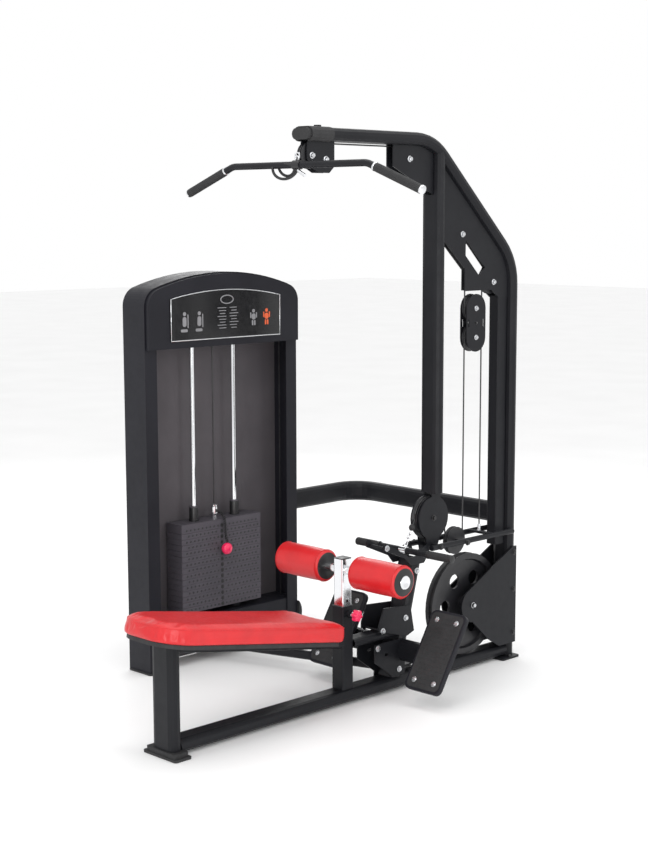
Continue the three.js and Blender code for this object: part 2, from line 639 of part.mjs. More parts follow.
// ---- Lat bar ----
{
  const points = [at(-LAT_HALF, LAT_Y, LAT_Z - LAT_DROP), at(-LAT_BEND_X, LAT_Y, LAT_Z), at(LAT_BEND_X,
      LAT_Y, LAT_Z),
    at(LAT_HALF, LAT_Y, LAT_Z - LAT_DROP)];
  const side = at(0, 1, 0);
  const bar = along(new BentPath(points, [90, 90], side, 4), circle(LAT_R, 0, 0, 14));
  const grips = [[0, 1], [3, 2]].map(([tip, bend]) => {
    const inwardDir = points[bend].clone().sub(points[tip]).normalize();
    const start = points[tip].clone().addScaledVector(inwardDir, 3);
    const end = points[tip].clone().addScaledVector(inwardDir, 232);
    return along(new BentPath([start, end], [], side), circle(GRIP_R, 0, 0, 14));
  });
  const eye = plateX(withHoles(circle(13, LAT_Y, LAT_Z + 21, 16), circle(7, LAT_Y, LAT_Z + 21, 12)), -3, 3);
  add('lat_bar', join(bar, ...grips, eye), frameBlack());

  const link = along(new BentPath([at(0, LAT_Y, LAT_Z + 19), at(-11, LAT_Y, LAT_Z + 19), at(-11, LAT_Y,
      LAT_Z + 43),
    at(11, LAT_Y, LAT_Z + 43), at(11, LAT_Y, LAT_Z + 19), at(1, LAT_Y, LAT_Z + 19)], [6, 6, 6, 6], side, 3),
  circle(3, 0, 0, 8));
  add('lat_link', link, chrome());
}

// ---- Row bar ----
{
  const bar = rodX(ROW_R, -ROW_HALF, ROW_HALF, ROW_Y, ROW_Z, 14);
  const grips = [[-ROW_HALF + 2, -ROW_HALF + 125], [ROW_HALF - 125, ROW_HALF - 2]].map(([a,
      b]) => rodX(16, a, b, ROW_Y, ROW_Z, 14));
  const eye = plateX(withHoles(circle(13, ROW_Y + 12, ROW_Z + 19, 16), circle(7, ROW_Y + 12, ROW_Z + 19,
      12)), -3, 3);
  add('row_bar', join(bar, ...grips, eye), frameBlack());

  const stopper = new THREE.SphereGeometry(13, 12, 8).translate(0, -579, 640);
  const chain = along(new BentPath([at(0, -580, 636), at(0, -596, 610), at(0, ROW_Y + 17, ROW_Z + 33)],
      [30], X_AXIS, 2),
    circle(7, 0, 0, 8));
  add('row_chain', join(stopper, chain), chrome());
}

// ---- Link and connecting tubes ----
const linkDir = at(-Math.cos(LINK_ANGLE), -Math.sin(LINK_ANGLE), 0);
const linkStart = at(TURN_PULLEY[0] + SMALL_GROOVE * Math.sin(LINK_ANGLE),
  TURN_PULLEY[1] - SMALL_GROOVE * Math.cos(LINK_ANGLE), BASE_CABLE_Z);
const onLink = (x) => linkStart.clone().addScaledVector(linkDir, (x - linkStart.x) / linkDir.x);
{
  const path = new BentPath([onLink(-30), onLink(-790)], [], Z_AXIS);
  const [cx, cy] = TURN_PULLEY;
  const pulleySpace = rodZ(52, BASE_CABLE_Z - 10, BASE_CABLE_Z + 10, cx, cy, 20);
  const tube = cut(along(path, withHoles(circle(19, 0, 0, 16), circle(16, 0, 0, 16))),
    box(-57, 10, -760, -500, 0, 200), pulleySpace);
  const flange = cut(box(-63, -56.5, -735, -590, 12, 88), rodX(15, -70, -50, onLink(-60).y, BASE_CABLE_Z,
      12), pulleySpace);
  const top = box(-63, 12, cy - 70, cy + 60, 80, 85);
  const legs = [box(-34, 12, cy - 70, cy - 64, BASE_TOP + GAP, 81), box(8, 12, cy - 70, cy - 52,
      BASE_TOP + GAP, 81)];
  const bolt = rodZ(AXLE_R, BASE_CABLE_Z - 8, 90, cx, cy);
  const tongue = cut(box(-811.5, -768, onLink(-790).y - 40, onLink(-790).y + 40, 80, 118),
    along(path, circle(16, 0, 0, 16)));
  add('base_link_tube', join(tube, flange, top, ...legs, bolt, tongue), frameBlack());
}

{
  const z = 622;
  const x = -885;
  const wallY = TOWER_Y + TOWER_HALF + GAP;
  const path = new BentPath([at(x, wallY, z), at(x, 0, z), at(-50 - GAP, 0, z)], [120], Z_AXIS, 6);
  const tube = along(path, hollowOval(TUBE_THIN, 90, WALL));
  const towerFlange = box(x - 35, x + 35, wallY, wallY + 6, z - 62, z + 62);
  const frameFlange = box(-56.5, -50 - GAP, -24, 24, z - 48, z + 60);
  add('connecting_tube', join(tube, cut(towerFlange, along(path, flatOval(TUBE_THIN - 6, 84))),
    cut(frameFlange, along(path, flatOval(TUBE_THIN - 6, 84)))), frameBlack());
}

// ---- Tower ----
// The housing's outline as (y, z): straight sides, rounded shoulders and a shallow arch.
function towerOutline(inset, low, steps = 9) {
  const half = TOWER_HALF - inset;
  const arch = ARCH_R - inset;
  const shoulder = SHOULDER_R - Math.min(inset, SHOULDER_R - 12);
  const archCentre = TOWER_PEAK - ARCH_R;
  const centreY = half - shoulder;
  const centreZ = archCentre + Math.sqrt((arch - shoulder) ** 2 - centreY ** 2);
  const meet = Math.atan2(centreZ - archCentre, centreY);
  const right = [[half, low]];
  for (let i = 0; i <= steps; i++) {
    const angle = meet * i / steps;
    right.push([centreY + shoulder * Math.cos(angle), centreZ + shoulder * Math.sin(angle)]);
  }
  for (let i = 1; i <= steps; i++) {
    const angle = meet + (Math.PI / 2 - meet) * i / steps;
    right.push([arch * Math.cos(angle), archCentre + arch * Math.sin(angle)]);
  }
  const left = right.slice(0, -1).reverse().map(([y, z]) => [-y, z]);
  return [...right, ...left].map(([y, z]) => [TOWER_Y + y, z]);
}

const band = (outer, inner) => polygon(...outer, ...[...inner].reverse());
{
  const wrap = plateX(band(towerOutline(0, 0), towerOutline(SHEET, 0)), TOWER_BACK, TOWER_FRONT);
  const front = plateX(band(towerOutline(0.5, 0), towerOutline(FLANGE, 0)), TOWER_FRONT - SHEET, TOWER_FRONT);
  add('tower_shell', join(wrap, front), shellBlack());
}
add('tower_back_panel', outward(plateX(polygon(...towerOutline(SHEET + GAP, 2)), TOWER_BACK,
    TOWER_BACK + 3)), shellBlack());

{
  const x0 = TOWER_FRONT + GAP;
  const x1 = TOWER_FRONT + HEADER_DEEP;
  const face = plateX(polygon(...towerOutline(6, HEADER_LOW)), x1 - 3, x1);
  const rim = plateX(band(towerOutline(6, HEADER_LOW), towerOutline(12, HEADER_LOW)), x0, x1 - 2);
  const sill = box(x0, x1 - 2, TOWER_Y - TOWER_HALF + 8, TOWER_Y + TOWER_HALF - 8, HEADER_LOW,
      HEADER_LOW + 5);
  add('header_panel', join(face, rim, sill), shellBlack());

  const half = 301;
  const arch = [];
  for (let i = 0; i <= 10; i++) {
    const t = 1 - i / 5;
    arch.push([TOWER_Y + half * t, 1546 + 34 * (1 - t * t)]);
  }
  const placard = polygon([TOWER_Y - half, 1373], [TOWER_Y + half, 1373], ...arch);
  add('placard', outward(plateX(placard, x1 + GAP, x1 + 3.5)), placardBlack());
}

// The deck under the stack, with its bumpers, front bar and the two lower pulleys' mountings.
const LOWER_TURN = [-850, TURN_PULLEY[1]];
{
  const meet = onLink(LOWER_TURN[0] + SMALL_GROOVE * Math.sin(LINK_ANGLE));
  LOWER_TURN[1] = meet.y + SMALL_GROOVE * Math.cos(LINK_ANGLE);
}
const LOWER_PULLEY = [UP_RUN_Y - SMALL_GROOVE, BASE_CABLE_Z + SMALL_GROOVE];
const rodYs = [TOWER_Y - ROD_SPREAD, TOWER_Y + ROD_SPREAD];
const inSide = TOWER_HALF - SHEET - GAP;
{
  const plate = box(TOWER_BACK + 4, TOWER_FRONT - SHEET - GAP, TOWER_Y - inSide, TOWER_Y + inSide,
      DECK_TOP - 8, DECK_TOP);
  const bar = box(TOWER_FRONT - SHEET - GAP - 6, TOWER_FRONT - SHEET - GAP, TOWER_Y - inSide,
      TOWER_Y + inSide, 84, DECK_TOP - 7);
  const tab = box(TOWER_FRONT - SHEET - 1, -812, onLink(-790).y - 50, onLink(-790).y + 50, 84, 130);
  const bumpers = rodYs.map((y) => rodZ(24, DECK_TOP - 1, STACK_LOW - GAP, ROD_X, y, 16));
  const bores = rodYs.map((y) => rodZ(ROD_R + 0.4, DECK_TOP - 4, STACK_LOW + 5, ROD_X, y, 16));
  const cablePass = rodZ(9, DECK_TOP - 12, DECK_TOP + 2, ROD_X, UP_RUN_Y);
  const cheeks = polygon([-545, DECK_TOP - 7], [-495, DECK_TOP - 7], [-505, 100], [-535, 100]);
  const cheekPlates = pairOfPlates(cheeks, 14, 18).map((g) => g.translate(ROD_X, 0, 0));
  const axle = rodX(AXLE_R, ROD_X - 20, ROD_X + 20, ...LOWER_PULLEY);
  const bolt = rodZ(AXLE_R, BASE_CABLE_Z - 9, DECK_TOP - 7, ...LOWER_TURN);
  const collar = rodZ(12, BASE_CABLE_Z + 9, DECK_TOP - 7, ...LOWER_TURN);
  add('stack_deck', cut(join(plate, bar, tab, ...bumpers, ...cheekPlates, axle, bolt, collar), ...bores,
      cablePass,
    rodZ(14, STACK_LOW - 30, STACK_LOW + 5, ROD_X, TOWER_Y)), frameBlack());
}
pulleyFlat('tower_turn_pulley', LOWER_TURN, BASE_CABLE_Z);
pulleyX('tower_base_pulley', LOWER_PULLEY, SMALL_R, SMALL_GROOVE, 10, ROD_X);

{
  const disc = rodX(75, -872, -808, -500, 128, 28);
  const outside = box(-900, -780, TOWER_Y + TOWER_HALF + GAP, -400, 0, 300);
  add('tower_pulley_guard', common(disc, outside), rubberBlack());
}

rodYs.forEach((y, k) => {
  add(k ? 'guide_rod_right' : 'guide_rod_left', outward(rodZ(ROD_R, DECK_TOP - 3, ROD_TOP - 8, ROD_X, y,
      16)), chrome());
});

const TOP_REAR = [UP_RUN_Y - SMALL_GROOVE, TOP_PULLEY_Z];
const TOP_FRONT = [TOWER_Y + SMALL_GROOVE, TOP_PULLEY_Z];
{
  const plate = box(TOWER_BACK + 4, TOWER_FRONT - SHEET - GAP, TOWER_Y - inSide, TOWER_Y + inSide,
      ROD_TOP - 7, ROD_TOP);
  const cheeks = polygon([-850, ROD_TOP - 1], [-490, ROD_TOP - 1], [-490, 1550], [-850, 1550]);
  const cheekPlates = pairOfPlates(cheeks, 14, 18).map((g) => g.translate(ROD_X, 0, 0));
  const axles = [TOP_REAR, TOP_FRONT].map(([y, z]) => rodX(AXLE_R, ROD_X - 22, ROD_X + 22, y, z));
  add('rod_top_bracket', cut(join(plate, ...cheekPlates, ...axles), rodZ(9, ROD_TOP - 12, ROD_TOP + 5,
      ROD_X, TOWER_Y),
    rodZ(9, ROD_TOP - 12, ROD_TOP + 5, ROD_X, UP_RUN_Y)), frameBlack());
}
pulleyX('tower_top_pulley_rear', TOP_REAR, SMALL_R, SMALL_GROOVE, 10, ROD_X);
pulleyX('tower_top_pulley_front', TOP_FRONT, SMALL_R, SMALL_GROOVE, 10, ROD_X);

// ---- Weight stack ----
function plates(low, count) {
  const wide = STACK_WIDE / 2;
  const deep = STACK_DEEP / 2;
  const slabs = [];
  for (let k = 0; k < count; k++) {
    const z = low + k * PLATE_PITCH;
    slabs.push(box(ROD_X - deep, ROD_X + deep, TOWER_Y - wide, TOWER_Y + wide, z, z + PLATE_THICK));
  }
  const core = box(ROD_X - deep + 4, ROD_X + deep - 4, TOWER_Y - wide + 4, TOWER_Y + wide - 4, low + 1,
    low + count * PLATE_PITCH - 2);
  const bores = [[ROD_R + 1, rodYs[0]], [ROD_R + 1, rodYs[1]], [12.5, TOWER_Y]].map(([r, y]) => rodZ(
    r, low - 5, low + count * PLATE_PITCH + 5, ROD_X, y, 16));
  return [join(...slabs, core), bores];
}

const LIFTED_LOW = STACK_LOW + RESTING_PLATES * PLATE_PITCH;
const SELECT_Z = LIFTED_LOW + PLATE_THICK / 2;
const HEAD_LOW = LIFTED_LOW + LIFTED_PLATES * PLATE_PITCH;
const HEAD_TOP = HEAD_LOW + HEAD_THICK;
const pinBore = rodX(5.5, ROD_X - 30, ROD_X + 80, TOWER_Y, SELECT_Z);
{
  const [resting, restingBores] = plates(STACK_LOW, RESTING_PLATES);
  add('resting_plates', cut(resting, ...restingBores), steel());
  const [lifted, liftedBores] = plates(LIFTED_LOW, LIFTED_PLATES);
  add('lifted_plates', cut(lifted, ...liftedBores, pinBore), steel());

  const head = box(ROD_X - STACK_DEEP / 2, ROD_X + STACK_DEEP / 2, TOWER_Y - STACK_WIDE / 2,
      TOWER_Y + STACK_WIDE / 2,
    HEAD_LOW, HEAD_TOP);
  const bushes = rodYs.map((y) => rodZ(19, HEAD_TOP - 1, HEAD_TOP + 64, ROD_X, y, 16));
  const bores = rodYs.map((y) => rodZ(ROD_R + 0.8, HEAD_LOW - 5, HEAD_TOP + 70, ROD_X, y, 16));
  add('head_plate', cut(join(head, ...bushes), ...bores, rodZ(11.5, HEAD_LOW - 5, HEAD_TOP + 5, ROD_X,
      TOWER_Y, 16)), steel());

  const rod = rodZ(11, STACK_LOW + 8, HEAD_TOP + 40, ROD_X, TOWER_Y, 16);
  const socket = rodZ(14, HEAD_TOP + 12, HEAD_TOP + 50, ROD_X, TOWER_Y, 16);
  add('selector_rod', cut(join(rod, socket), pinBore), chrome());

  const shaft = rodX(4.6, ROD_X - 12, ROD_X + 64, TOWER_Y, SELECT_Z);
  const knob = new THREE.SphereGeometry(25, 14, 10).scale(0.8, 1, 1).translate(ROD_X + 80, TOWER_Y, SELECT_Z);
  add('selector_pin', join(shaft, knob), knobRed());
}

// ---- Cables ----
const cableShape = () => circle(CABLE_R, 0, 0, 8);

// Points of a cable round a pulley: from one angle to another, in degrees, in the plane of y and z.
function wrap([y, z], r, from, to, x = 0) {
  const count = Math.max(2, Math.ceil(Math.abs(to - from) / (r > 150 ? 9 : 15)));
  const points = [];
  for (let i = 0; i <= count; i++) {
    const angle = (from + (to - from) * i / count) * Math.PI / 180;
    points.push(at(x, y + r * Math.cos(angle), z + r * Math.sin(angle)));
  }
  return points;
}

function flatWrap([x, y], r, from, to, z) {
  const count = Math.max(2, Math.ceil(Math.abs(to - from) / 15));
  const points = [];
  for (let i = 0; i <= count; i++) {
    const angle = (from + (to - from) * i / count) * Math.PI / 180;
    points.push(at(x + r * Math.cos(angle), y + r * Math.sin(angle), z));
  }
  return points;
}

// A cable through a list of points, with one ring at each point.
class PolyPath extends THREE.Curve {
  constructor(points) {
    super();
    this.points = points;
  }

  get steps() {
    return this.points.length - 1;
  }

  getPointAt(u) {
    return this.points[Math.round(u * this.steps)].clone();
  }

  getPoint(u) {
    return this.getPointAt(u);
  }

  getTangentAt(u) {
    const k = Math.round(u * this.steps);
    const before = this.points[Math.max(0, k - 1)];
    const after = this.points[Math.min(this.steps, k + 1)];
    const into = this.points[k].clone().sub(before).normalize();
    const out = after.clone().sub(this.points[k]).normalize();
    return into.add(out).normalize();
  }
}

function cable(name, points) {
  add(name, outward(along(new PolyPath(points), cableShape())), cableBlack());
}

const runAngle = Math.atan2(DROP_PULLEY[1] - BOOM_PULLEY[1],
    DROP_PULLEY[0] - BOOM_PULLEY[0]) * 180 / Math.PI + 90;
cable('cable_boom_run', [
  ...wrap(FRONT_PULLEY, SMALL_GROOVE, 180, 90),
  ...wrap(BOOM_PULLEY, SMALL_GROOVE, 90, runAngle),
  ...wrap(DROP_PULLEY, SMALL_GROOVE, runAngle, 2),
]);

cable('cable_block_loop', [
  at(0, DROP_PULLEY[0] + SMALL_GROOVE, DROP_PULLEY[1] - 4),
  ...wrap([BLOCK_Y, BLOCK_UPPER_Z], BLOCK_GROOVE, 180, 360),
  at(0, BEND_PULLEY[0] - SMALL_GROOVE, BEND_PULLEY[1] - 4),
]);

cable('cable_tower_run', [
  ...wrap(BEND_PULLEY, SMALL_GROOVE, 178, 0),
  ...wrap(BIG_WHEEL, WHEEL_GROOVE, 0, -90),
  ...flatWrap(TURN_PULLEY, SMALL_GROOVE, 0, -72, BASE_CABLE_Z),
  ...flatWrap(LOWER_TURN, SMALL_GROOVE, -72, -180, BASE_CABLE_Z),
  ...wrap(LOWER_PULLEY, SMALL_GROOVE, -90, 0, ROD_X),
  ...wrap(TOP_REAR, SMALL_GROOVE, 0, 90, ROD_X),
  ...wrap(TOP_FRONT, SMALL_GROOVE, 90, 178, ROD_X),
]);

cable('cable_stack_drop', [at(ROD_X, TOWER_Y, TOP_PULLEY_Z - 4), at(ROD_X, TOWER_Y, HEAD_TOP + 50 + GAP)]);

const crossDegrees = 185.3; // side of the return pulley where the row cable leaves for the low pulley
cable('cable_row_run', [
  ...wrap(RETURN_PULLEY, BLOCK_GROOVE, -2, crossDegrees - 360),
  ...wrap(LOW_PULLEY, LOW_GROOVE, crossDegrees - 180, 178),
]);

cable('cable_row_loop', [
  at(0, RETURN_PULLEY[0] + BLOCK_GROOVE, RETURN_PULLEY[1] + 4),
  ...wrap([BLOCK_Y, BLOCK_LOWER_Z], BLOCK_GROOVE, 180, 0),
  at(0, ANCHOR_Y, 568 + GAP),
]);

export default machine;
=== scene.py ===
import json
import math

import bmesh
import bpy
from mathutils import Matrix, Vector
from mathutils.bvhtree import BVHTree


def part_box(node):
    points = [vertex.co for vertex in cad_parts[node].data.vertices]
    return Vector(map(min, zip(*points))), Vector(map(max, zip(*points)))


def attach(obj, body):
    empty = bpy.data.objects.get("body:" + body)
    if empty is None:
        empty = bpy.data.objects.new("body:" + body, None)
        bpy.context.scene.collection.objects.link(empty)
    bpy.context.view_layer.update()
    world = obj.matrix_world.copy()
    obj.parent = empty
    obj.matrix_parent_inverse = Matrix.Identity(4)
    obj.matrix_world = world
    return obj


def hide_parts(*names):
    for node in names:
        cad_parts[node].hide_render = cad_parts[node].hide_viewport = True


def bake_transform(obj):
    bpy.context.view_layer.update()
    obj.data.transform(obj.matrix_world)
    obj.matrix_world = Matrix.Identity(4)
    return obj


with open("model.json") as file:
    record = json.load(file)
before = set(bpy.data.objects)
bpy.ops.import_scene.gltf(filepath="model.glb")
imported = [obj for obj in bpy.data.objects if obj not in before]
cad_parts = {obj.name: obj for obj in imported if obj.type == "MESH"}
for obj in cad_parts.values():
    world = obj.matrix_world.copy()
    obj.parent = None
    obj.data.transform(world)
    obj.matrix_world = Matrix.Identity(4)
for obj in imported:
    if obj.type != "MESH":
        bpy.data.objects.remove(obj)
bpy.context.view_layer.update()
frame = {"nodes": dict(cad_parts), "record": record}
nodes = frame["nodes"]

MM = 0.001

# ---- Camera: a person's eye height, in front of the bench's high end and to the user's right ----
camera_data = bpy.data.cameras.new("camera")
camera_data.sensor_width = 36
camera_data.lens = 66.75
camera_data.shift_x = -0.0328
camera_data.shift_y = 0.0152
camera = bpy.data.objects.new("camera", camera_data)
camera.location = (4.288, -5.240, 1.881)
camera.rotation_euler = (math.radians(81.846), 0, math.radians(44.783))
bpy.context.scene.collection.objects.link(camera)
bpy.context.scene.camera = camera


# ---- Materials ----
class Finish:
    """A procedural material whose fine detail is laid out in the object's own metres."""

    def __init__(self, name, color, roughness, metallic=0.0, **sockets):
        self.material = bpy.data.materials.new(name)
        self.material.use_nodes = True
        self.tree = self.material.node_tree
        self.shader = self.tree.nodes["Principled BSDF"]
        self.shader.inputs["Metallic"].default_value = metallic
        self.shader.inputs["Base Color"].default_value = (*color, 1)
        self.shader.inputs["Roughness"].default_value = roughness
        for socket, value in sockets.items():
            self.shader.inputs[socket.replace("_", " ")].default_value = value
        self.place = self.node("ShaderNodeTexCoord").outputs["Object"]
        self.height = None

    def node(self, kind, **settings):
        made = self.tree.nodes.new(kind)
        for key, value in settings.items():
            setattr(made, key, value)
        return made

    def link(self, source, target):
        self.tree.links.new(source, target)

    def noise(self, scale, detail=2.0, stretch=None):
        texture = self.node("ShaderNodeTexNoise")
        texture.inputs["Scale"].default_value = scale
        texture.inputs["Detail"].default_value = detail
        place = self.place
        if stretch:
            mapping = self.node("ShaderNodeMapping")
            mapping.inputs["Scale"].default_value = stretch
            self.link(place, mapping.inputs["Vector"])
            place = mapping.outputs["Vector"]
        self.link(place, texture.inputs["Vector"])
        return texture.outputs["Fac"]

    def cells(self, scale, feature="F1"):
        texture = self.node("ShaderNodeTexVoronoi", feature=feature)
        texture.inputs["Scale"].default_value = scale
        self.link(self.place, texture.inputs["Vector"])
        return texture.outputs["Distance"]

    def spread(self, value, low, high, start=0.3, end=0.7):
        """value, spread from start..end over low..high."""
        remap = self.node("ShaderNodeMapRange")
        for socket, number in zip(("From Min", "From Max", "To Min", "To Max"), (start, end, low, high)):
            remap.inputs[socket].default_value = number
        self.link(value, remap.inputs["Value"])
        return remap.outputs["Result"]

    def mottle(self, value, dark, light):
        ramp = self.node("ShaderNodeValToRGB")
        ramp.color_ramp.elements[0].position = 0.3
        ramp.color_ramp.elements[1].position = 0.7
        ramp.color_ramp.elements[0].color = (*dark, 1)
        ramp.color_ramp.elements[1].color = (*light, 1)
        self.link(value, ramp.inputs["Fac"])
        self.link(ramp.outputs["Color"], self.shader.inputs["Base Color"])
        return self

    def rough(self, value, low, high):
        self.link(self.spread(value, low, high), self.shader.inputs["Roughness"])
        return self

    def bump(self, value, strength, distance):
        bump = self.node("ShaderNodeBump")
        bump.inputs["Strength"].default_value = strength
        bump.inputs["Distance"].default_value = distance
        self.link(value, bump.inputs["Height"])
        if self.height:
            self.link(self.height, bump.inputs["Normal"])
        self.height = bump.outputs["Normal"]
        self.link(self.height, self.shader.inputs["Normal"])
        return self


def powder_coat(name, dark, light, low, high):
    finish = Finish(name, dark, low, 0.0, Coat_Weight=0.02, Coat_Roughness=0.28, Specular_IOR_Level=0.2)
    finish.mottle(finish.noise(6, 4), dark, light)
    finish.rough(finish.noise(35, 5), low, high)
    finish.bump(finish.noise(900, 3), 0.18, 0.0004)
    return finish.material


def red_vinyl(name):
    finish = Finish(name, (0.56, 0.008, 0.012), 0.4, 0.0, Coat_Weight=0.08, Coat_Roughness=0.3)
    finish.mottle(finish.noise(14, 5), (0.52, 0.007, 0.011), (0.61, 0.010, 0.014))
    finish.rough(finish.noise(60, 4), 0.32, 0.44)
    finish.bump(finish.cells(620), 0.22, 0.0004)
    finish.bump(finish.noise(1400, 3), 0.12, 0.0002)
    finish.bump(finish.noise(22, 2), 0.10, 0.002)
    return finish.material


def rubber(name, color=(0.016, 0.016, 0.017), low=0.62, high=0.8):
    finish = Finish(name, color, low)
    finish.mottle(finish.noise(20, 3), color, tuple(c * 1.5 for c in color))
    finish.rough(finish.noise(80, 4), low, high)
    finish.bump(finish.noise(700, 4), 0.25, 0.0004)
    return finish.material


def moulded(name, color, low=0.34, high=0.46, coat=0.0):
    finish = Finish(name, color, low, 0.0, Coat_Weight=coat, Coat_Roughness=0.12)
    finish.mottle(finish.noise(12, 3), color, tuple(min(1, c * 1.25) for c in color))
    finish.rough(finish.noise(50, 4), low, high)
    finish.bump(finish.cells(1100), 0.1, 0.0002)
    return finish.material


def bright_metal(name, color, low, high, stretch):
    finish = Finish(name, color, low, 1.0)
    finish.mottle(finish.noise(9, 3), tuple(c * 0.93 for c in color), color)
    finish.rough(finish.noise(60, 5, stretch), low, high)
    finish.bump(finish.noise(300, 3, stretch), 0.04, 0.0002)
    return finish.material


def cable_sheath(name):
    finish = Finish(name, (0.012, 0.012, 0.013), 0.34, 0.0, Coat_Weight=0.2, Coat_Roughness=0.2)
    finish.mottle(finish.noise(40, 2), (0.010, 0.010, 0.011), (0.02, 0.02, 0.022))
    finish.rough(finish.noise(90, 3), 0.28, 0.42)
    finish.bump(finish.noise(500, 2, (1, 1, 3)), 0.15, 0.0003)
    return finish.material


FRAME_BLACK = powder_coat("frame_powder_coat", (0.0075, 0.0078, 0.010), (0.011, 0.0115, 0.014), 0.36, 0.48)
SHELL_BLACK = powder_coat("shell_powder_coat", (0.0105, 0.0105, 0.0145), (0.014, 0.014, 0.019), 0.4, 0.52)
# Painted light: the tower's back panel gets a shade about eight times lighter than the casing, so the tower's
# inside, seen from the front, reads as lit. The outside of the back takes the same shade.
BACK_PANEL_PAINTED_LIGHT = powder_coat("back_panel_painted_light", (0.082, 0.075, 0.082), (0.098, 0.090, 0.098), 0.4, 0.55)
VINYL = red_vinyl("red_vinyl")
RUBBER = rubber("black_rubber")
GRIP_RUBBER = rubber("grip_rubber", (0.013, 0.013, 0.014), 0.55, 0.72)
PULLEY = moulded("pulley_nylon", (0.010, 0.010, 0.012))
BLACK_PLASTIC = moulded("black_plastic", (0.009, 0.009, 0.010), 0.3, 0.42)
CRIMSON = moulded("crimson_knob", (0.70, 0.014, 0.085), 0.22, 0.32, 0.25)
CHROME = bright_metal("chrome", (0.83, 0.84, 0.86), 0.07, 0.16, (1, 1, 0.1))
ZINC = bright_metal("zinc_bolt", (0.62, 0.63, 0.65), 0.24, 0.38, (1, 1, 1))
PLATE_STEEL = powder_coat("plate_paint", (0.072, 0.066, 0.078), (0.088, 0.080, 0.094), 0.36, 0.5)
DOT_STEEL = moulded("plate_studs", (0.012, 0.012, 0.014))
CABLE = cable_sheath("cable_sheath")
PLACARD = moulded("placard_face", (0.004, 0.004, 0.005), 0.16, 0.26, 0.2)
PLACARD_WHITE = moulded("placard_white", (0.20, 0.20, 0.21), 0.3, 0.4)
PLACARD_RED = moulded("placard_red", (0.62, 0.10, 0.03), 0.3, 0.4)

NODE_FINISH = {
    "frame": FRAME_BLACK, "shell": SHELL_BLACK, "rubber": RUBBER, "pulley": PULLEY, "vinyl": VINYL,
    "chrome": CHROME, "plates": PLATE_STEEL, "knob": CRIMSON, "cable": CABLE, "placard": PLACARD,
}
slot_of = {part["node"]: part["material_slot"] for part in frame["record"]["subparts"]}


def smooth_below(mesh, degrees):
    """Shades a mesh smooth across every edge that turns less than the angle."""
    mesh.shade_smooth()
    mesh.set_sharp_from_angle(angle=math.radians(degrees))


for name, node in nodes.items():
    node.data.materials.clear()
    node.data.materials.append(NODE_FINISH[slot_of[name]])
    smooth_below(node.data, 38)
# Painted light: the back panel takes the lighter shade that stands in for the light inside the tower.
nodes["tower_back_panel"].data.materials[0] = BACK_PANEL_PAINTED_LIGHT
nodes["stack_deck"].data.materials[0] = SHELL_BLACK


# ---- Shapes ----
class Shape:
    """Solids gathered into one mesh, in millimetres, in the frame's own axes."""

    def __init__(self):
        self.bm = bmesh.new()

    def rings(self, loops, closed_ends=True, closed_loop=False):
        """Skins a list of equal rings of points."""
        made = [[self.bm.verts.new(Vector(p) * MM) for p in loop] for loop in loops]
        count = len(made[0])
        pairs = list(zip(made, made[1:]))
        if closed_loop:
            pairs.append((made[-1], made[0]))
        for a, b in pairs:
            for i in range(count):
                j = (i + 1) % count
                self.bm.faces.new((a[i], a[j], b[j], b[i]))
        if closed_ends and not closed_loop:
            self.bm.faces.new(tuple(reversed(made[0])))
            self.bm.faces.new(tuple(made[-1]))
        return self

    def tube(self, points, radius, sides=16, closed_loop=False):
        """A round bar through a list of points. radius is one number, or one for each point."""
        points = [Vector(p) for p in points]
        radii = radius if isinstance(radius, (list, tuple)) else [radius] * len(points)
        tangents = []
        for k in range(len(points)):
            before = points[k - 1] if k or closed_loop else points[0]
            after = points[(k + 1) % len(points)] if k < len(points) - 1 or closed_loop else points[-1]
            tangents.append((after - before).normalized())
        normal = tangents[0].orthogonal().normalized()
        loops = []
        for point, tangent, r in zip(points, tangents, radii):
            normal = (normal - tangent * normal.dot(tangent)).normalized()
            across = tangent.cross(normal)
            loops.append([
                point + r * (math.cos(a) * normal + math.sin(a) * across)
                for a in (2 * math.pi * i / sides for i in range(sides))
            ])
        return self.rings(loops, closed_loop=closed_loop)

    def turned(self, profile, origin, axis, steps=32):
        """A solid of revolution. profile lists [radius, along] from one end on the axis to the other."""
        axis = Vector(axis).normalized()
        side = axis.orthogonal().normalized()
        up = axis.cross(side)
        origin = Vector(origin)
        loops = []
        for r, along in profile:
            r = max(r, 0.02)
            loops.append([
                origin + axis * along + r * (math.cos(a) * side + math.sin(a) * up)
                for a in (2 * math.pi * i / steps for i in range(steps))
            ])
        return self.rings(loops)

    def prism(self, outline, depth, basis):
        """outline is [across, up] points, basis places across, up and out, and depth runs along out."""
        low, high = (
            [basis @ Vector((x, y, d)) for x, y in outline] for d in depth)
        return self.rings([low, high])

    def soften(self, width, segments=2, degrees=40):
        """Rounds every edge sharper than the angle."""
        bmesh.ops.recalc_face_normals(self.bm, faces=self.bm.faces)
        edges = [e for e in self.bm.edges if e.is_manifold and e.calc_face_angle(0) > math.radians(degrees)]
        bmesh.ops.bevel(self.bm, geom=edges, offset=width * MM, segments=segments, profile=0.6,
                        affect="EDGES", clamp_overlap=True)
        return self

    def piece(self, name, material, body, slot, replaces=(), angle=38):
        bmesh.ops.recalc_face_normals(self.bm, faces=self.bm.faces)
        mesh = bpy.data.meshes.new(name)
        self.bm.to_mesh(mesh)
        self.bm.free()
        smooth_below(mesh, angle)
        mesh.materials.append(material)
        obj = bpy.data.objects.new(name, mesh)
        bpy.context.scene.collection.objects.link(obj)
        if body:
            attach(obj, body)
        if replaces:
            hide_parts(*replaces)
        return obj


def rounded_outline(wide, high, radius, steps=6):
    points = []
    for k, (sx, sy) in enumerate(((1, 1), (-1, 1), (-1, -1), (1, -1))):
        for i in range(steps + 1):
            angle = (k + i / steps) * math.pi / 2
            points.append((sx * (wide / 2 - radius) + radius * math.cos(angle),
                           sy * (high / 2 - radius) + radius * math.sin(angle)))
    return points


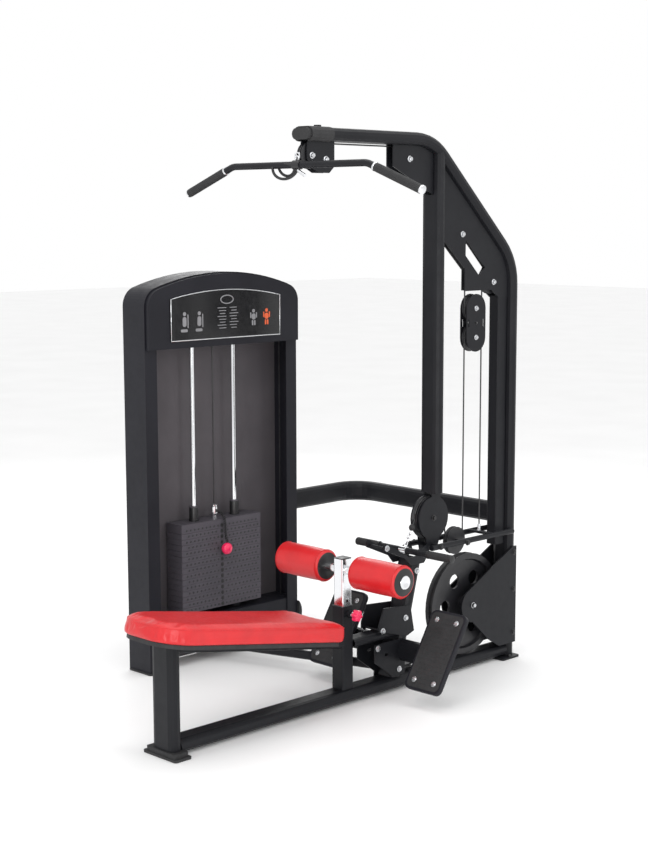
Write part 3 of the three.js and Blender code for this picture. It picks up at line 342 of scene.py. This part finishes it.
def basis(origin, across, up):
    """A placing whose columns are across, up and out, for points in millimetres."""
    across = Vector(across).normalized()
    up = Vector(up).normalized()
    out = across.cross(up)
    made = Matrix((across, up, out)).transposed().to_4x4()
    made.translation = Vector(origin)
    return made


def corner_mm(node):
    return tuple(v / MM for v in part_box(node))


def centre_mm(node):
    low, high = corner_mm(node)
    return (low + high) / 2


# ---- Seat cushion: a boxed vinyl pad, filled by cloth simulation ----
SEAT_LOW_END = Vector((0, -1110, 296))
SEAT_TILT = math.radians(9.95)
SEAT_LONG = 872
SEAT_WIDE = 340
SEAT_SEAM = 58
SEAT_TOP = 66
seat_up = Vector((0, -math.cos(SEAT_TILT), math.sin(SEAT_TILT)))
seat_basis = basis(SEAT_LOW_END, (-1, 0, 0), seat_up)


def seat_outline(inset, steps=8):
    """The pad's plan: small corners at the low end and large ones at the high end."""
    half = SEAT_WIDE / 2 - inset
    points = []
    corners = (
        (half, SEAT_LONG - inset, 130 - inset, 0), (-half, SEAT_LONG - inset, 130 - inset, 1),
        (-half, inset, 26, 2), (half, inset, 26, 3))
    for x, y, radius, quarter in corners:
        cx = x - math.copysign(radius, x)
        cy = y - radius if quarter < 2 else y + radius
        for i in range(steps + 1):
            angle = (quarter + i / steps) * math.pi / 2
            points.append((cx + radius * math.cos(angle), cy + radius * math.sin(angle)))
    return points


def fill_with_cloth(obj, voxel, pressure, cap, keep_below):
    """Swells a closed mesh as a stuffed cover. keep_below gives the height under which points are pinned."""
    bpy.context.view_layer.objects.active = obj
    remesh = obj.modifiers.new("remesh", "REMESH")
    remesh.mode = "VOXEL"
    remesh.voxel_size = voxel
    bpy.ops.object.modifier_apply(modifier="remesh")
    rest = [v.co.copy() for v in obj.data.vertices]
    pins = obj.vertex_groups.new(name="pins")
    pins.add([v.index for v in obj.data.vertices if keep_below(v.co)], 1.0, "REPLACE")
    cloth = obj.modifiers.new("cloth", "CLOTH")
    settings = cloth.settings
    settings.quality = 4
    settings.mass = 0.3
    settings.tension_stiffness = 30
    settings.compression_stiffness = 30
    settings.shear_stiffness = 12
    settings.bending_stiffness = 1.5
    settings.use_pressure = True
    settings.uniform_pressure_force = pressure
    settings.effector_weights.gravity = 0
    settings.vertex_group_mass = "pins"
    cloth.point_cache.frame_start = 1
    cloth.point_cache.frame_end = 20
    scene = bpy.context.scene
    for step in range(1, 21):
        scene.frame_set(step)
    bpy.ops.object.modifier_apply(modifier="cloth")
    for v, start in zip(obj.data.vertices, rest):
        move = v.co - start
        if move.length > cap:
            v.co = start + move.normalized() * cap
    scene.frame_set(1)
    obj.vertex_groups.clear()


seat = Shape()
seat_levels = ((16, 0), (9, 3), (5, 12), (5, SEAT_SEAM - 8), (7, SEAT_SEAM), (16, SEAT_TOP - 4), (34,
    SEAT_TOP - 1),
               (70, SEAT_TOP))
seat.rings([[seat_basis @ Vector((x, y, high)) for x, y in seat_outline(inset)] for inset,
    high in seat_levels])
seat_pad = seat.piece("seat_cushion", VINYL, None, "vinyl", replaces=("seat_pad",), angle=180)


def under_seat(co):
    return (seat_basis.inverted() @ (co / MM)).z < 5


fill_with_cloth(seat_pad, 0.006, 4.0, 0.006, under_seat)
subdivide = seat_pad.modifiers.new("smooth", "SUBSURF")
subdivide.levels = subdivide.render_levels = 1
seat_pad.data.shade_smooth()
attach(seat_pad, "frame")


def on_surface(obj, points, lift):
    """The nearest points of a mesh to a list of points, lifted a little off it."""
    tree = BVHTree.FromObject(obj, bpy.context.evaluated_depsgraph_get())
    return [
        (lambda hit: (hit[0] + hit[1] * lift * MM) / MM if hit[0] else p)(tree.find_nearest(p * MM))
        for p in points
    ]


seam_path = [seat_basis @ Vector((x, y, SEAT_SEAM)) for x, y in seat_outline(2, 12)]
seam_dense = []
for a, b in zip(seam_path, seam_path[1:] + seam_path[:1]):
    count = max(1, int((b - a).length / 14))
    seam_dense += [a.lerp(b, i / count) for i in range(count)]
seam_dense = on_surface(seat_pad, seam_dense, 0.4)
Shape().tube(seam_dense, 1.7, 8, closed_loop=True).piece("seat_piping", VINYL, "frame", "vinyl", angle=180)


# ---- Knee rollers ----
ROLLER_R = 63
ROLLER_IN, ROLLER_OUT = 83, 325
roller_centre = Vector((0, -973, 531))
for side, name in ((-1, "left"), (1, "right")):
    body = f"roller_{name}"
    length = ROLLER_OUT - ROLLER_IN
    profile = [(20, 3), (36, 2.5)]
    profile += [(ROLLER_R - 14 + 13 * math.sin(a), 12 - 12 * math.cos(a))
                for a in (math.radians(d) for d in range(0, 91, 15))]
    profile += [(ROLLER_R - 1 + 1.6 * math.sin(math.pi * k / 10),
        12 + (length - 24) * k / 10) for k in range(1, 10)]
    profile += [(ROLLER_R - 14 + 13 * math.cos(a), length - 12 + 12 * math.sin(a))
                for a in (math.radians(d) for d in range(0, 91, 15))]
    profile += [(36, length - 2.5), (20, length - 3)]
    start = roller_centre + Vector((side * ROLLER_IN, 0, 0))
    roll = Shape().turned(profile, start, (side, 0, 0), 64)
    roller = roll.piece(f"knee_roll_{name}", VINYL, None, "vinyl", replaces=(f"knee_roller_{name}",),
        angle=180)
    fill_with_cloth(roller, 0.005, 4.0, 0.0015, lambda co: (co / MM - roller_centre).yz.length < 40)
    soften = roller.modifiers.new("smooth", "SUBSURF")
    soften.levels = soften.render_levels = 1
    roller.data.shade_smooth()
    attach(roller, body)
    caps = Shape()
    caps.turned([(0, -2), (50, -2), (53, -1), (53, 1.5), (49, 3.5), (0, 4)],
                start + Vector((side * (length - 2.5), 0, 0)), (side, 0, 0), 48)
    caps.turned([(0, -2), (50, -2), (53, -1), (53, 1.5), (49, 3.5), (0, 4)],
                start + Vector((side * 2.5, 0, 0)), (-side, 0, 0), 48)
    caps.piece(f"knee_roll_caps_{name}", BLACK_PLASTIC, body, "pulley")
    for x in (11, length - 11):
        ring = [start + Vector((side * x, (ROLLER_R - 0.2) * math.cos(a), (ROLLER_R - 0.2) * math.sin(a)))
                for a in (2 * math.pi * i / 64 for i in range(64))]
        Shape().tube(ring, 1.1, 8, closed_loop=True).piece(
            f"knee_roll_seam_{name}_{'inner' if x < 50 else 'outer'}", VINYL, body, "vinyl", angle=180)
    Shape().turned([(0, 0), (25, 0), (26, 1), (26, 4), (24.5, 5.5), (12, 6), (10, 4.6), (0, 4.6)],
                   roller_centre + Vector((side * (ROLLER_OUT + 2), 0, 0)), (side, 0, 0), 40).piece(
        f"roller_end_disc_{name}", CHROME, "knee", "chrome")

post_top = Shape()
post_top.prism(rounded_outline(51, 51, 6), (0, 4), basis((0, -973, 574), (1, 0, 0), (0, 1, 0)))
post_top.soften(1.5)
post_top.piece("knee_post_cap", BLACK_PLASTIC, "knee", "pulley")


# ---- Knobs ----
def lobed_knob(centre, axis, name, body, replaces):
    """A six-lobed hand knob on a collar, with its back face at centre."""
    axis = Vector(axis).normalized()
    side = axis.orthogonal().normalized()
    up = axis.cross(side)
    loops = []
    for scale, along in ((0.80, 0), (0.96, 2), (1.0, 6), (1.0, 17), (0.95, 21), (0.80, 24), (0.5, 25), (0.2,
        25)):
        loop = []
        for i in range(72):
            a = 2 * math.pi * i / 72
            r = scale * (21 + 3.2 * math.cos(6 * a) * min(1, scale))
            loop.append(Vector(centre) + axis * along + r * (math.cos(a) * side + math.sin(a) * up))
        loops.append(loop)
    return Shape().rings(loops).piece(name, CRIMSON, body, "knob", replaces=replaces, angle=60)


lobed_knob((66, -973, 360), (1, 0, 0), "height_knob", "pin", ("height_pin",))
Shape().turned([(0, 0), (5, 0), (5, 26), (12, 27), (13, 30), (13, 40), (0, 40)], (25.6, -973, 360), (1, 0,
    0), 24).piece(
    "height_pin_shaft", CHROME, "pin", "chrome")

select_high = corner_mm("selector_pin")[1]
SELECT_Z = centre_mm("selector_pin").z
knob_profile = [(0, 0), (8, 0), (12, 2), (19, 7), (23.5, 15), (25, 22), (23.5, 30), (18, 36), (10, 39), (0,
    40)]
Shape().turned(knob_profile, (select_high.x - 40, -859, SELECT_Z), (1, 0, 0), 40).piece(
    "selector_knob", CRIMSON, "selector", "knob", replaces=("selector_pin",))
Shape().turned([(0, 0), (3, 1), (4.6, 4), (4.6, 70)], (-907, -859, SELECT_Z), (1, 0, 0), 20).piece(
    "selector_shaft", CHROME, "selector", "chrome")


# ---- Weight stack details ----
STACK_Y = -859
ROD_X = -895
STACK_FRONT = -845
stack_low = corner_mm("resting_plates")[0].z
PLATE_PITCH = 24.5
RESTING = 10
LIFTED = 4


def plate_studs(plates, name, body):
    """A row of round studs on each plate's front, staggered from plate to plate, and its pin hole's rim."""
    studs = Shape()
    holes = Shape()
    for k in plates:
        middle = stack_low + k * PLATE_PITCH + 11.6
        for i in range(-9, 10):
            y = i * 21.5 + (10.75 if k % 2 else 0)
            if 11 < abs(y) < 208:
                studs.turned([(4.8, -0.5), (4.8, 0.5), (3.2, 1.2), (0, 1.4)], (STACK_FRONT, STACK_Y + y,
                    middle), (1, 0, 0), 12)
        if k != RESTING:
            holes.turned([(6.0, -0.5), (8.6, -0.5), (8.6, 0.6), (6.4, 1.0), (6.0, 0.4), (0, 0.35)],
                         (STACK_FRONT, STACK_Y, middle), (1, 0, 0), 20)
    studs.piece(f"{name}_studs", DOT_STEEL, body, "plates")
    holes.piece(f"{name}_pin_holes", BLACK_PLASTIC, body, "pulley")


plate_studs(range(RESTING), "resting_plate", "frame")
plate_studs(range(RESTING, RESTING + LIFTED + 1), "lifted_plate", "stack")

BUSH_HIGH = 64
head_top = corner_mm("head_plate")[1].z - BUSH_HIGH
bushes = Shape()
for y in (STACK_Y - 113, STACK_Y + 113):
    bushes.turned([(19.4, 0), (21, 1), (21, 6), (19.4, 8), (19.2, 58), (17.5, 63), (10.9, 64)], (ROD_X, y,
        head_top), (0, 0, 1), 32)
bushes.piece("head_bushes", BLACK_PLASTIC, "stack", "pulley")
socket = Shape()
socket.turned([(0, 0), (14.5, 0), (15.5, 1.5), (15.5, 12), (12, 15), (12, 34), (14, 37), (14, 46), (8, 50),
    (4, 52), (0, 52)],
              (ROD_X, STACK_Y, head_top + 10), (0, 0, 1), 32)
socket.piece("stack_connector", CHROME, "stack", "chrome")


def helix(points, radius, turns, per_turn):
    """A coil wound about a path of points."""
    path = [Vector(p) for p in points]
    lengths = [0]
    for a, b in zip(path, path[1:]):
        lengths.append(lengths[-1] + (b - a).length)
    made = []
    total = turns * per_turn
    for i in range(total + 1):
        along = lengths[-1] * i / total
        k = min(len(path) - 2, max(j for j in range(len(lengths)) if lengths[j] <= along + 1e-6))
        t = (along - lengths[k]) / (lengths[k + 1] - lengths[k])
        here = path[k].lerp(path[k + 1], min(1, t))
        tangent = (path[k + 1] - path[k]).normalized()
        side = Vector((1, 0, 0)).cross(tangent).normalized()
        up = tangent.cross(side)
        a = 2 * math.pi * i / per_turn
        made.append(here + radius * (math.cos(a) * side + math.sin(a) * up))
    return made


lanyard_start = Vector((ROD_X + 14, STACK_Y + 4, head_top + 30))
lanyard_end = Vector((select_high.x - 20, STACK_Y + 6, SELECT_Z + 22))
lanyard_edge = Vector((lanyard_end.x - 17, STACK_Y + 5, head_top - 11))


def bend(a, over, b):
    """Points on the curve from a to b that is drawn towards over."""
    return [(1 - t) ** 2 * a + 2 * t * (1 - t) * over + t ** 2 * b for t in (i / 12 for i in range(13))]


lanyard_path = bend(lanyard_start, lanyard_edge + Vector((0, 0, 41)), lanyard_edge)
lanyard_path += bend(lanyard_edge, lanyard_edge - Vector((0, 0, 50)), lanyard_end)[1:]
lanyard = Shape().tube(helix(lanyard_path, 5.5, 20, 12), 1.9, 6).piece(
    "selector_lanyard", BLACK_PLASTIC, None, "pulley", angle=180)
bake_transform(lanyard)


# ---- Cables that change length ----
CABLE_R = 3
SWING_COSINE = 0.73  # of half the angle that the row bar's cable swings over


def run(name, a, b, replaces=(), square_to=None):
    """A straight cable from a point on one body to a point on another.

    square_to is the direction that its ends are cut square to, for a cable that swings over a wide angle.
    """
    shape = Shape()
    if square_to:
        across = Vector((1, 0, 0))
        up = Vector(square_to).normalized().cross(across) / SWING_COSINE
        angles = [2 * math.pi * i / 12 for i in range(12)]
        section = [CABLE_R * (math.cos(t) * across + math.sin(t) * up) for t in angles]
        shape.rings([[Vector(point) + offset for offset in section] for point in (a, b)])
    else:
        shape.tube([a, b], CABLE_R, 12)
    cable = shape.piece(name, CABLE, None, "cable", replaces=replaces, angle=60)
    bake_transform(cable)
    return cable


def half_turn(name, y, z, radius, top):
    """The cable's half turn round a pulley of the floating block."""
    sign = 1 if top else -1
    arc = [(0, y + radius * math.cos(a), z + sign * radius * math.sin(a))
           for a in (math.pi * i / 20 for i in range(21))]
    Shape().tube(arc, CABLE_R, 12).piece(name, CABLE, "block", "cable", angle=60)


upper = centre_mm("block_upper_pulley")
lower = centre_mm("block_lower_pulley")
BLOCK_GROOVE = 53.5
half_turn("cable_upper_turn", upper.y, upper.z, BLOCK_GROOVE, False)
half_turn("cable_lower_turn", lower.y, lower.z, BLOCK_GROOVE, True)
near_y, far_y = upper.y - BLOCK_GROOVE, upper.y + BLOCK_GROOVE
run("cable_leg_front", (0, near_y, 1806), (0, near_y, upper.z),
    replaces=("cable_block_loop",))
run("cable_leg_rear", (0, far_y, 1610), (0, far_y, upper.z))
run("cable_row_leg_front", (0, near_y, 551), (0, near_y, lower.z),
    replaces=("cable_row_loop",))
run("cable_row_leg_rear", (0, far_y, 568), (0, far_y, lower.z))
run("cable_stack_run", (ROD_X, STACK_Y, 1534), (ROD_X, STACK_Y, head_top + 60),
    replaces=("cable_stack_drop",))
Shape().turned([(0, -2), (8, -2), (9, 0), (9, 3), (7, 5), (6.5, 26), (4, 30), (0, 30)], (0, far_y, 569), (0,
    0, 1), 24).piece(
    "cable_anchor", ZINC, "frame", "chrome")


# ---- Lat bar ----
LAT_Y, LAT_Z = -1202, 2063
LAT_HALF, LAT_BEND_X, LAT_DROP = 614, 353, 97
LAT_R = 12.7


def bent_points(corners, radius, steps):
    """Points of a path with its corners rounded."""
    corners = [Vector(c) for c in corners]
    points = [corners[0]]
    for before, here, after in zip(corners, corners[1:], corners[2:]):
        into = (here - before).normalized()
        out = (after - here).normalized()
        turn = into.angle(out)
        reach = radius * math.tan(turn / 2)
        inward = (out - into * out.dot(into)).normalized()
        start = here - into * reach
        for i in range(steps + 1):
            a = turn * i / steps
            points.append(start + into * radius * math.sin(a) + inward * radius * (1 - math.cos(a)))
    points.append(corners[-1])
    return points


lat_corners = [(-LAT_HALF, LAT_Y, LAT_Z - LAT_DROP), (-LAT_BEND_X, LAT_Y, LAT_Z), (LAT_BEND_X, LAT_Y, LAT_Z),
               (LAT_HALF, LAT_Y, LAT_Z - LAT_DROP)]
Shape().tube(bent_points(lat_corners, 90, 12), LAT_R, 28).piece(
    "lat_bar_tube", FRAME_BLACK, "lat", "frame", replaces=("lat_bar",))


def grip(name, tip, towards, length, bar_r, body, metal_finish=CHROME):
    """A ribbed rubber grip with a metal end cap and a collar where it starts."""
    tip = Vector(tip)
    axis = (Vector(towards) - tip).normalized()
    outer = bar_r + 3.4
    profile = [(bar_r, 5), (outer - 0.6, 5), (outer, 7)]
    ribs = int((length - 16) / 5.5)
    for k in range(ribs):
        z = 9 + k * 5.5
        profile += [(outer, z), (outer, z + 3.2), (outer - 0.9, z + 3.9), (outer - 0.9, z + 4.8)]
    profile += [(outer, length - 4), (outer - 0.8, length), (bar_r, length)]
    Shape().turned(profile, tip, axis, 36).piece(f"{name}_grip", GRIP_RUBBER, body, "rubber", angle=25)
    metal = Shape()
    metal.turned([(0, -2), (outer - 3, -2), (outer, -0.5), (outer + 0.4, 1), (outer + 0.4, 5), (bar_r,
        5.5)], tip, axis, 36)
    metal.turned([(bar_r - 0.2, length), (outer + 0.3, length), (outer + 0.8, length + 1.2), (outer + 0.8,
        length + 6),
                  (outer + 0.2, length + 7.5), (bar_r - 0.2, length + 7.5)], tip, axis, 36)
    metal.piece(f"{name}_collars", metal_finish, body, "chrome")


grip("lat_left", lat_corners[0], lat_corners[1], 232, LAT_R, "lat")
grip("lat_right", lat_corners[3], lat_corners[2], 232, LAT_R, "lat")

hanger = Shape()
hanger.turned([(15.2, -19), (17, -18), (17, 18), (15.2, 19), (12.4, 19)], (0, LAT_Y, LAT_Z), (1, 0, 0), 32)
hanger.turned([(0, -24), (6.5, -24), (8.5, -22), (8.5, -13), (0, -13)], (0, LAT_Y, LAT_Z), (0, 0, 1), 20)
hanger.turned([(0, 12), (9, 12), (9, 15), (5, 17), (5, 22)], (0, LAT_Y, LAT_Z), (0, 0, 1), 20)
hanger.piece("lat_swivel", BLACK_PLASTIC, "lat", "chrome")
Shape().tube([Vector((12, LAT_Y - 6, LAT_Z - 20)), Vector((30, LAT_Y - 8, LAT_Z - 31)), Vector((50,
    LAT_Y - 8, LAT_Z - 40))],
             6.5, 14).piece("lat_snap", CHROME, "lat", "chrome", angle=60)
eye = [(7.5 * math.cos(a), LAT_Y,
    LAT_Z + 24 + 7.5 * math.sin(a)) for a in (2 * math.pi * i / 24 for i in range(24))]
Shape().tube([Vector(p) for p in eye], 3, 10, closed_loop=True).piece("lat_eye", CHROME, "lat", "chrome",
    angle=180)
loops = Shape()
for wide, deep, x, lean in ((60, 44, -64, 0.5), (50, 33, -58, -0.5)):
    loops.tube([
        Vector((x + wide * math.cos(a), LAT_Y + 14 * math.sin(a) * lean + 15 * math.cos(a) * lean,
                LAT_Z - 6 + deep * math.sin(a) * (1 if math.sin(a) < 0 else 0.3)))
        for a in (2 * math.pi * i / 40 for i in range(40))], 5.2, 10, closed_loop=True)
loops.piece("lat_strap", RUBBER, "lat", "rubber", angle=180)
run("cable_lat_drop", (0, -1191, 2099), (0, LAT_Y, LAT_Z + 40))


# ---- Row bar ----
ROW_Y, ROW_Z = -627, 555
ROW_HALF = 257
ROW_R = 12.5
row_tube = Shape().tube([(-ROW_HALF, ROW_Y, ROW_Z), (ROW_HALF, ROW_Y, ROW_Z)], ROW_R, 28)
row_tube.piece("row_bar_tube", FRAME_BLACK, "row", "frame", replaces=("row_bar",))
grip("row_left", (-ROW_HALF, ROW_Y, ROW_Z), (0, ROW_Y, ROW_Z), 120, ROW_R, "row", BLACK_PLASTIC)
grip("row_right", (ROW_HALF, ROW_Y, ROW_Z), (0, ROW_Y, ROW_Z), 120, ROW_R, "row", BLACK_PLASTIC)
row_eye = Vector((0, ROW_Y + 14, ROW_Z + 22))
stopper = Vector((0, -579, 640))
swivel = Shape()
swivel.turned([(13, -17), (15.5, -16), (15.5, 16), (13, 17)], (0, ROW_Y, ROW_Z), (1, 0, 0), 32)
swivel.tube([Vector((0, ROW_Y, ROW_Z)) + (row_eye - Vector((0, ROW_Y, ROW_Z))) * t for t in (0.45, 0.75)],
    6, 16)
swivel.piece("row_swivel", CHROME, "row", "chrome")


def chain(name, a, b, count, wide, wire, body):
    """Oval links, each turned a quarter from the one before."""
    a, b = Vector(a), Vector(b)
    along = (b - a).normalized()
    side = Vector((1, 0, 0))
    pitch = (b - a).length / count
    links = Shape()
    for k in range(count):
        centre = a + along * pitch * (k + 0.5)
        across = side if k % 2 else along.cross(side)
        half = pitch / 2 + wire * 0.9 - wide / 2
        points = []
        for i in range(24):
            t = 2 * math.pi * i / 24
            shift = half if math.sin(t) > 0 else -half
            offset = along * (shift + wide / 2 * math.sin(t)) + across * (wide / 2) * math.cos(t)
            points.append(centre + offset)
        links.tube(points, wire, 8, closed_loop=True)
    return links.piece(name, CHROME, body, "chrome", angle=180)


chain("row_links", row_eye - Vector((0, 4, 6)), stopper - Vector((0, 6, 12)), 4, 13, 2.4, "row")
Shape().turned([(0, -13), (5, -13), (9.5, -9.5), (12.4, -4), (13, 0), (12.4, 4), (9.5, 9.5), (5, 13), (0,
    13)], stopper,
               (0, 0.5, 0.86), 28).piece(
    "row_stopper", RUBBER, "row", "rubber", replaces=("row_chain",), angle=60)
run("cable_row_drop", (0, -563, 671), (0, -577, 644), square_to=(0, -0.94, -0.34))


# ---- Footplates ----
FOOT_LEAN = math.radians(31.4)
foot_up = Vector((0, math.sin(FOOT_LEAN), math.cos(FOOT_LEAN)))
for side, name in ((-1, "left"), (1, "right")):
    place = basis((side * 270, -736, 210), (1, 0, 0), foot_up)
    if place.col[2].y > 0:
        place = basis((side * 270, -736, 210), (-1, 0, 0), foot_up)
    plate = Shape()
    plate.prism(rounded_outline(180, 330, 26, 8), (-20, -1), place)
    plate.soften(3, 3)
    plate.piece(f"footplate_{name}_body", SHELL_BLACK, "frame", "shell", replaces=(f"footplate_{name}",))
    tread = Shape()
    tread.prism(rounded_outline(160, 310, 20, 8), (-1.5, 0.5), place)
    for row in range(-7, 8):
        for column in range(-3, 4):
            x, y = column * 21 + (10 if row % 2 else 0), row * 19
            if abs(x) > 70 or (abs(abs(x) - 50) < 14 and abs(abs(y) - 125) < 14):
                continue
            tread.prism([(x + px, y + py) for px, py in rounded_outline(13, 4, 1.9, 2)], (0, 1.5), place)
    tread.piece(f"footplate_{name}_tread", RUBBER, "frame", "rubber")
    heads = Shape()
    for x in (-50, 50):
        for y in (-125, 125):
            heads.turned([(0, -2), (11, -2), (11, 0.6), (8.6, 1.6), (7.4, 4.6), (4, 5.4), (0, 5.4)],
                         place @ Vector((x, y, 1)), place.col[2].to_3d(), 24)
    heads.piece(f"footplate_{name}_bolts", ZINC, "frame", "chrome")


# ---- Bolts ----
def bolt(shape, at, axis, reach, size=9.0):
    """A washer and a hexagon head standing on the surface at a point."""
    shape.turned([(0, -1), (size * 1.35, -1), (size * 1.35, 1.2), (size * 1.2, 1.9), (0, 1.9)], at, axis, 28)
    shape.turned([(size, 1.5), (size, reach - 1.2), (size * 0.86, reach), (0, reach)], at, axis, 6)


bright_bolts = Shape()
dark_bolts = Shape()
side_bolts = (
    # y, z, surface distance from the middle plane, how far the head stands out
    (bright_bolts, -1146, 2098, 19, 10), (bright_bolts, -1076, 2085, 19, 10), (bright_bolts, -623, 2098, 19,
        10),
    (bright_bolts, -315, 1807, 26, 9), (bright_bolts, -118, 1610, 26, 9), (bright_bolts, -262.5, 274, 57.5,
        11),
    (bright_bolts, -669, 293, 50.5, 9), (bright_bolts, -800, 262, 50.5, 9), (bright_bolts, -705, 90, 50.5, 8),
    (bright_bolts, -828, 196, 50.5, 8), (bright_bolts, -777, 590, 50, 9), (bright_bolts, -603, 474, 50, 9),
    (dark_bolts, -475, 668, 24, 9), (dark_bolts, -322, 551, 74.5, 9), (dark_bolts, -485, 556, 74.5, 8),
    (dark_bolts, 2, 110, 57.5, 7), (dark_bolts, 2, 300, 57.5, 7), (dark_bolts, 2, 460, 57.5, 7),
)
for bolts, y, z, surface, reach in side_bolts:
    for side in (-1, 1):
        bolt(bolts, (side * surface, y, z), (side, 0, 0), reach)
for z in (566, 629):
    bolt(bright_bolts, (0, 49.5 - 24.5, z), (0, 1, 0), 9, 8)
for x in (-61, 61):
    bolt(dark_bolts, (x, -24, 7.5), (0, 0, 1), 10, 6)
for z in (592, 664):
    bolt(dark_bolts, (-56, 0 if z > 600 else 14, z), (-1, 0, 0), 7, 6)
bright_bolts.piece("frame_bolts", ZINC, "frame", "chrome")
dark_bolts.piece("frame_bolts_dark", BLACK_PLASTIC, "frame", "frame")

block_bolts = Shape()
for z in (upper.z, lower.z):
    for side in (-1, 1):
        bolt(block_bolts, (side * 18, upper.y, z), (side, 0, 0), 8, 8)
block_bolts.piece("block_bolts", ZINC, "block", "chrome")


# ---- Placard: a generic diagram ----
header_x = corner_mm("placard")[1].x
placard_low, placard_high = corner_mm("placard")
placard_middle = (placard_low.y + placard_high.y) / 2
half_wide = (placard_high.y - placard_low.y) / 2
edge = []
for k in range(21):
    t = 1 - k / 10
    edge.append((header_x + 0.6, placard_middle + (half_wide - 3) * t, 1546 + 31 * (1 - t * t)))
edge += [(header_x + 0.6, placard_middle - half_wide + 3, 1376), (header_x + 0.6,
    placard_middle + half_wide - 3, 1376)]
Shape().tube(edge, 2.2, 8, closed_loop=True).piece("placard_border", CHROME, "frame", "chrome", angle=60)
face = basis((header_x, placard_middle, 1460), (0, 1, 0), (0, 0, 1))
white = Shape()
red = Shape()


def tile(shape, x, y, wide, high, rise=0.8):
    """A rounded raised mark on the placard's face."""
    shape.prism([(x + px, y + py) for px, py in rounded_outline(wide, high, min(wide, high) / 2.3, 4)],
        (-0.2, rise), face)


for x in (-228, -150):
    for dx, dy, wide, high in ((0, 24, 16, 16), (0, -8, 20, 40), (-2, -44, 36, 12), (18, -6, 5, 56)):
        tile(white, x + dx, dy, wide, high)
for row in range(8):
    for column in range(2):
        tile(white, -28 + 62 * column + (4 if row % 3 else 0), 42 - row * 12, 48 - 9 * ((row + column) % 3),
            3, 0.6)
for x, shape in ((148, white), (222, red)):
    for dx, dy, wide, high in ((0, 22, 15, 15), (0, -2, 22, 26), (-16, 4, 6, 24), (16, 4, 6, 24), (-6, -28,
        8, 22), (6, -28, 8, 22)):
        tile(shape, x + dx, dy, wide, high)
angles = [2 * math.pi * i / 40 for i in range(40)]
ring = [face @ Vector((34 * math.cos(a), 76 + 17 * math.sin(a), 0.8)) for a in angles]
white.tube(ring, 2.4, 8, closed_loop=True)
white.piece("placard_figures", PLACARD_WHITE, "frame", "placard")
red.piece("placard_accents", PLACARD_RED, "frame", "placard")

# ---- Rubber shoes under the tower's two sides ----
tower_low, tower_high = corner_mm("tower_shell")
shoes = Shape()
for side, y in ((-1, tower_low.y + 30), (1, tower_high.y - 30)):
    shoes.prism([(x - 886, y + dy) for x, dy in rounded_outline(148, 74, 12, 5)], (0.2, 7),
        Matrix.Identity(4))
shoes.soften(1.5, 2)
shoes.piece("tower_shoes", RUBBER, "frame", "rubber")


# ---- Floor and light ----
bpy.ops.mesh.primitive_plane_add(size=60, location=(0, 0, -0.001))
floor = bpy.context.object
floor.name = "floor"
ground = Finish("pale_floor", (0.92, 0.92, 0.92), 0.7)
ground.mottle(ground.noise(1.5, 3), (0.91, 0.91, 0.91), (0.94, 0.94, 0.94))
floor.data.materials.append(ground.material)

world = bpy.data.worlds.new("studio")
world.use_nodes = True
world.node_tree.nodes["Background"].inputs["Color"].default_value = (1.0, 1.0, 1.0, 1)
world.node_tree.nodes["Background"].inputs["Strength"].default_value = 1.0
bpy.context.scene.world = world


def softbox(name, place, size, energy):
    light = bpy.data.lights.new(name, "AREA")
    light.shape = "RECTANGLE"
    light.size, light.size_y = size
    light.energy = energy
    lamp = bpy.data.objects.new(name, light)
    lamp.location = place
    aim = Vector((-0.2, -0.8, 0.9)) - Vector(place)
    lamp.rotation_euler = aim.to_track_quat("-Z", "Y").to_euler()
    bpy.context.scene.collection.objects.link(lamp)


softbox("key", (1.0, -5.0, 4.2), (2.5, 2.0), 60)
softbox("side", (5.0, 0.5, 3.0), (1.6, 2.6), 45)
softbox("top", (-0.5, -0.5, 5.0), (3.0, 3.0), 40)
softbox("far", (-4.5, 2.5, 3.0), (2.0, 2.0), 30)
softbox("front", (3.2, -4.2, 1.1), (1.6, 1.4), 40)
bpy.context.scene.view_settings.view_transform = "Standard"
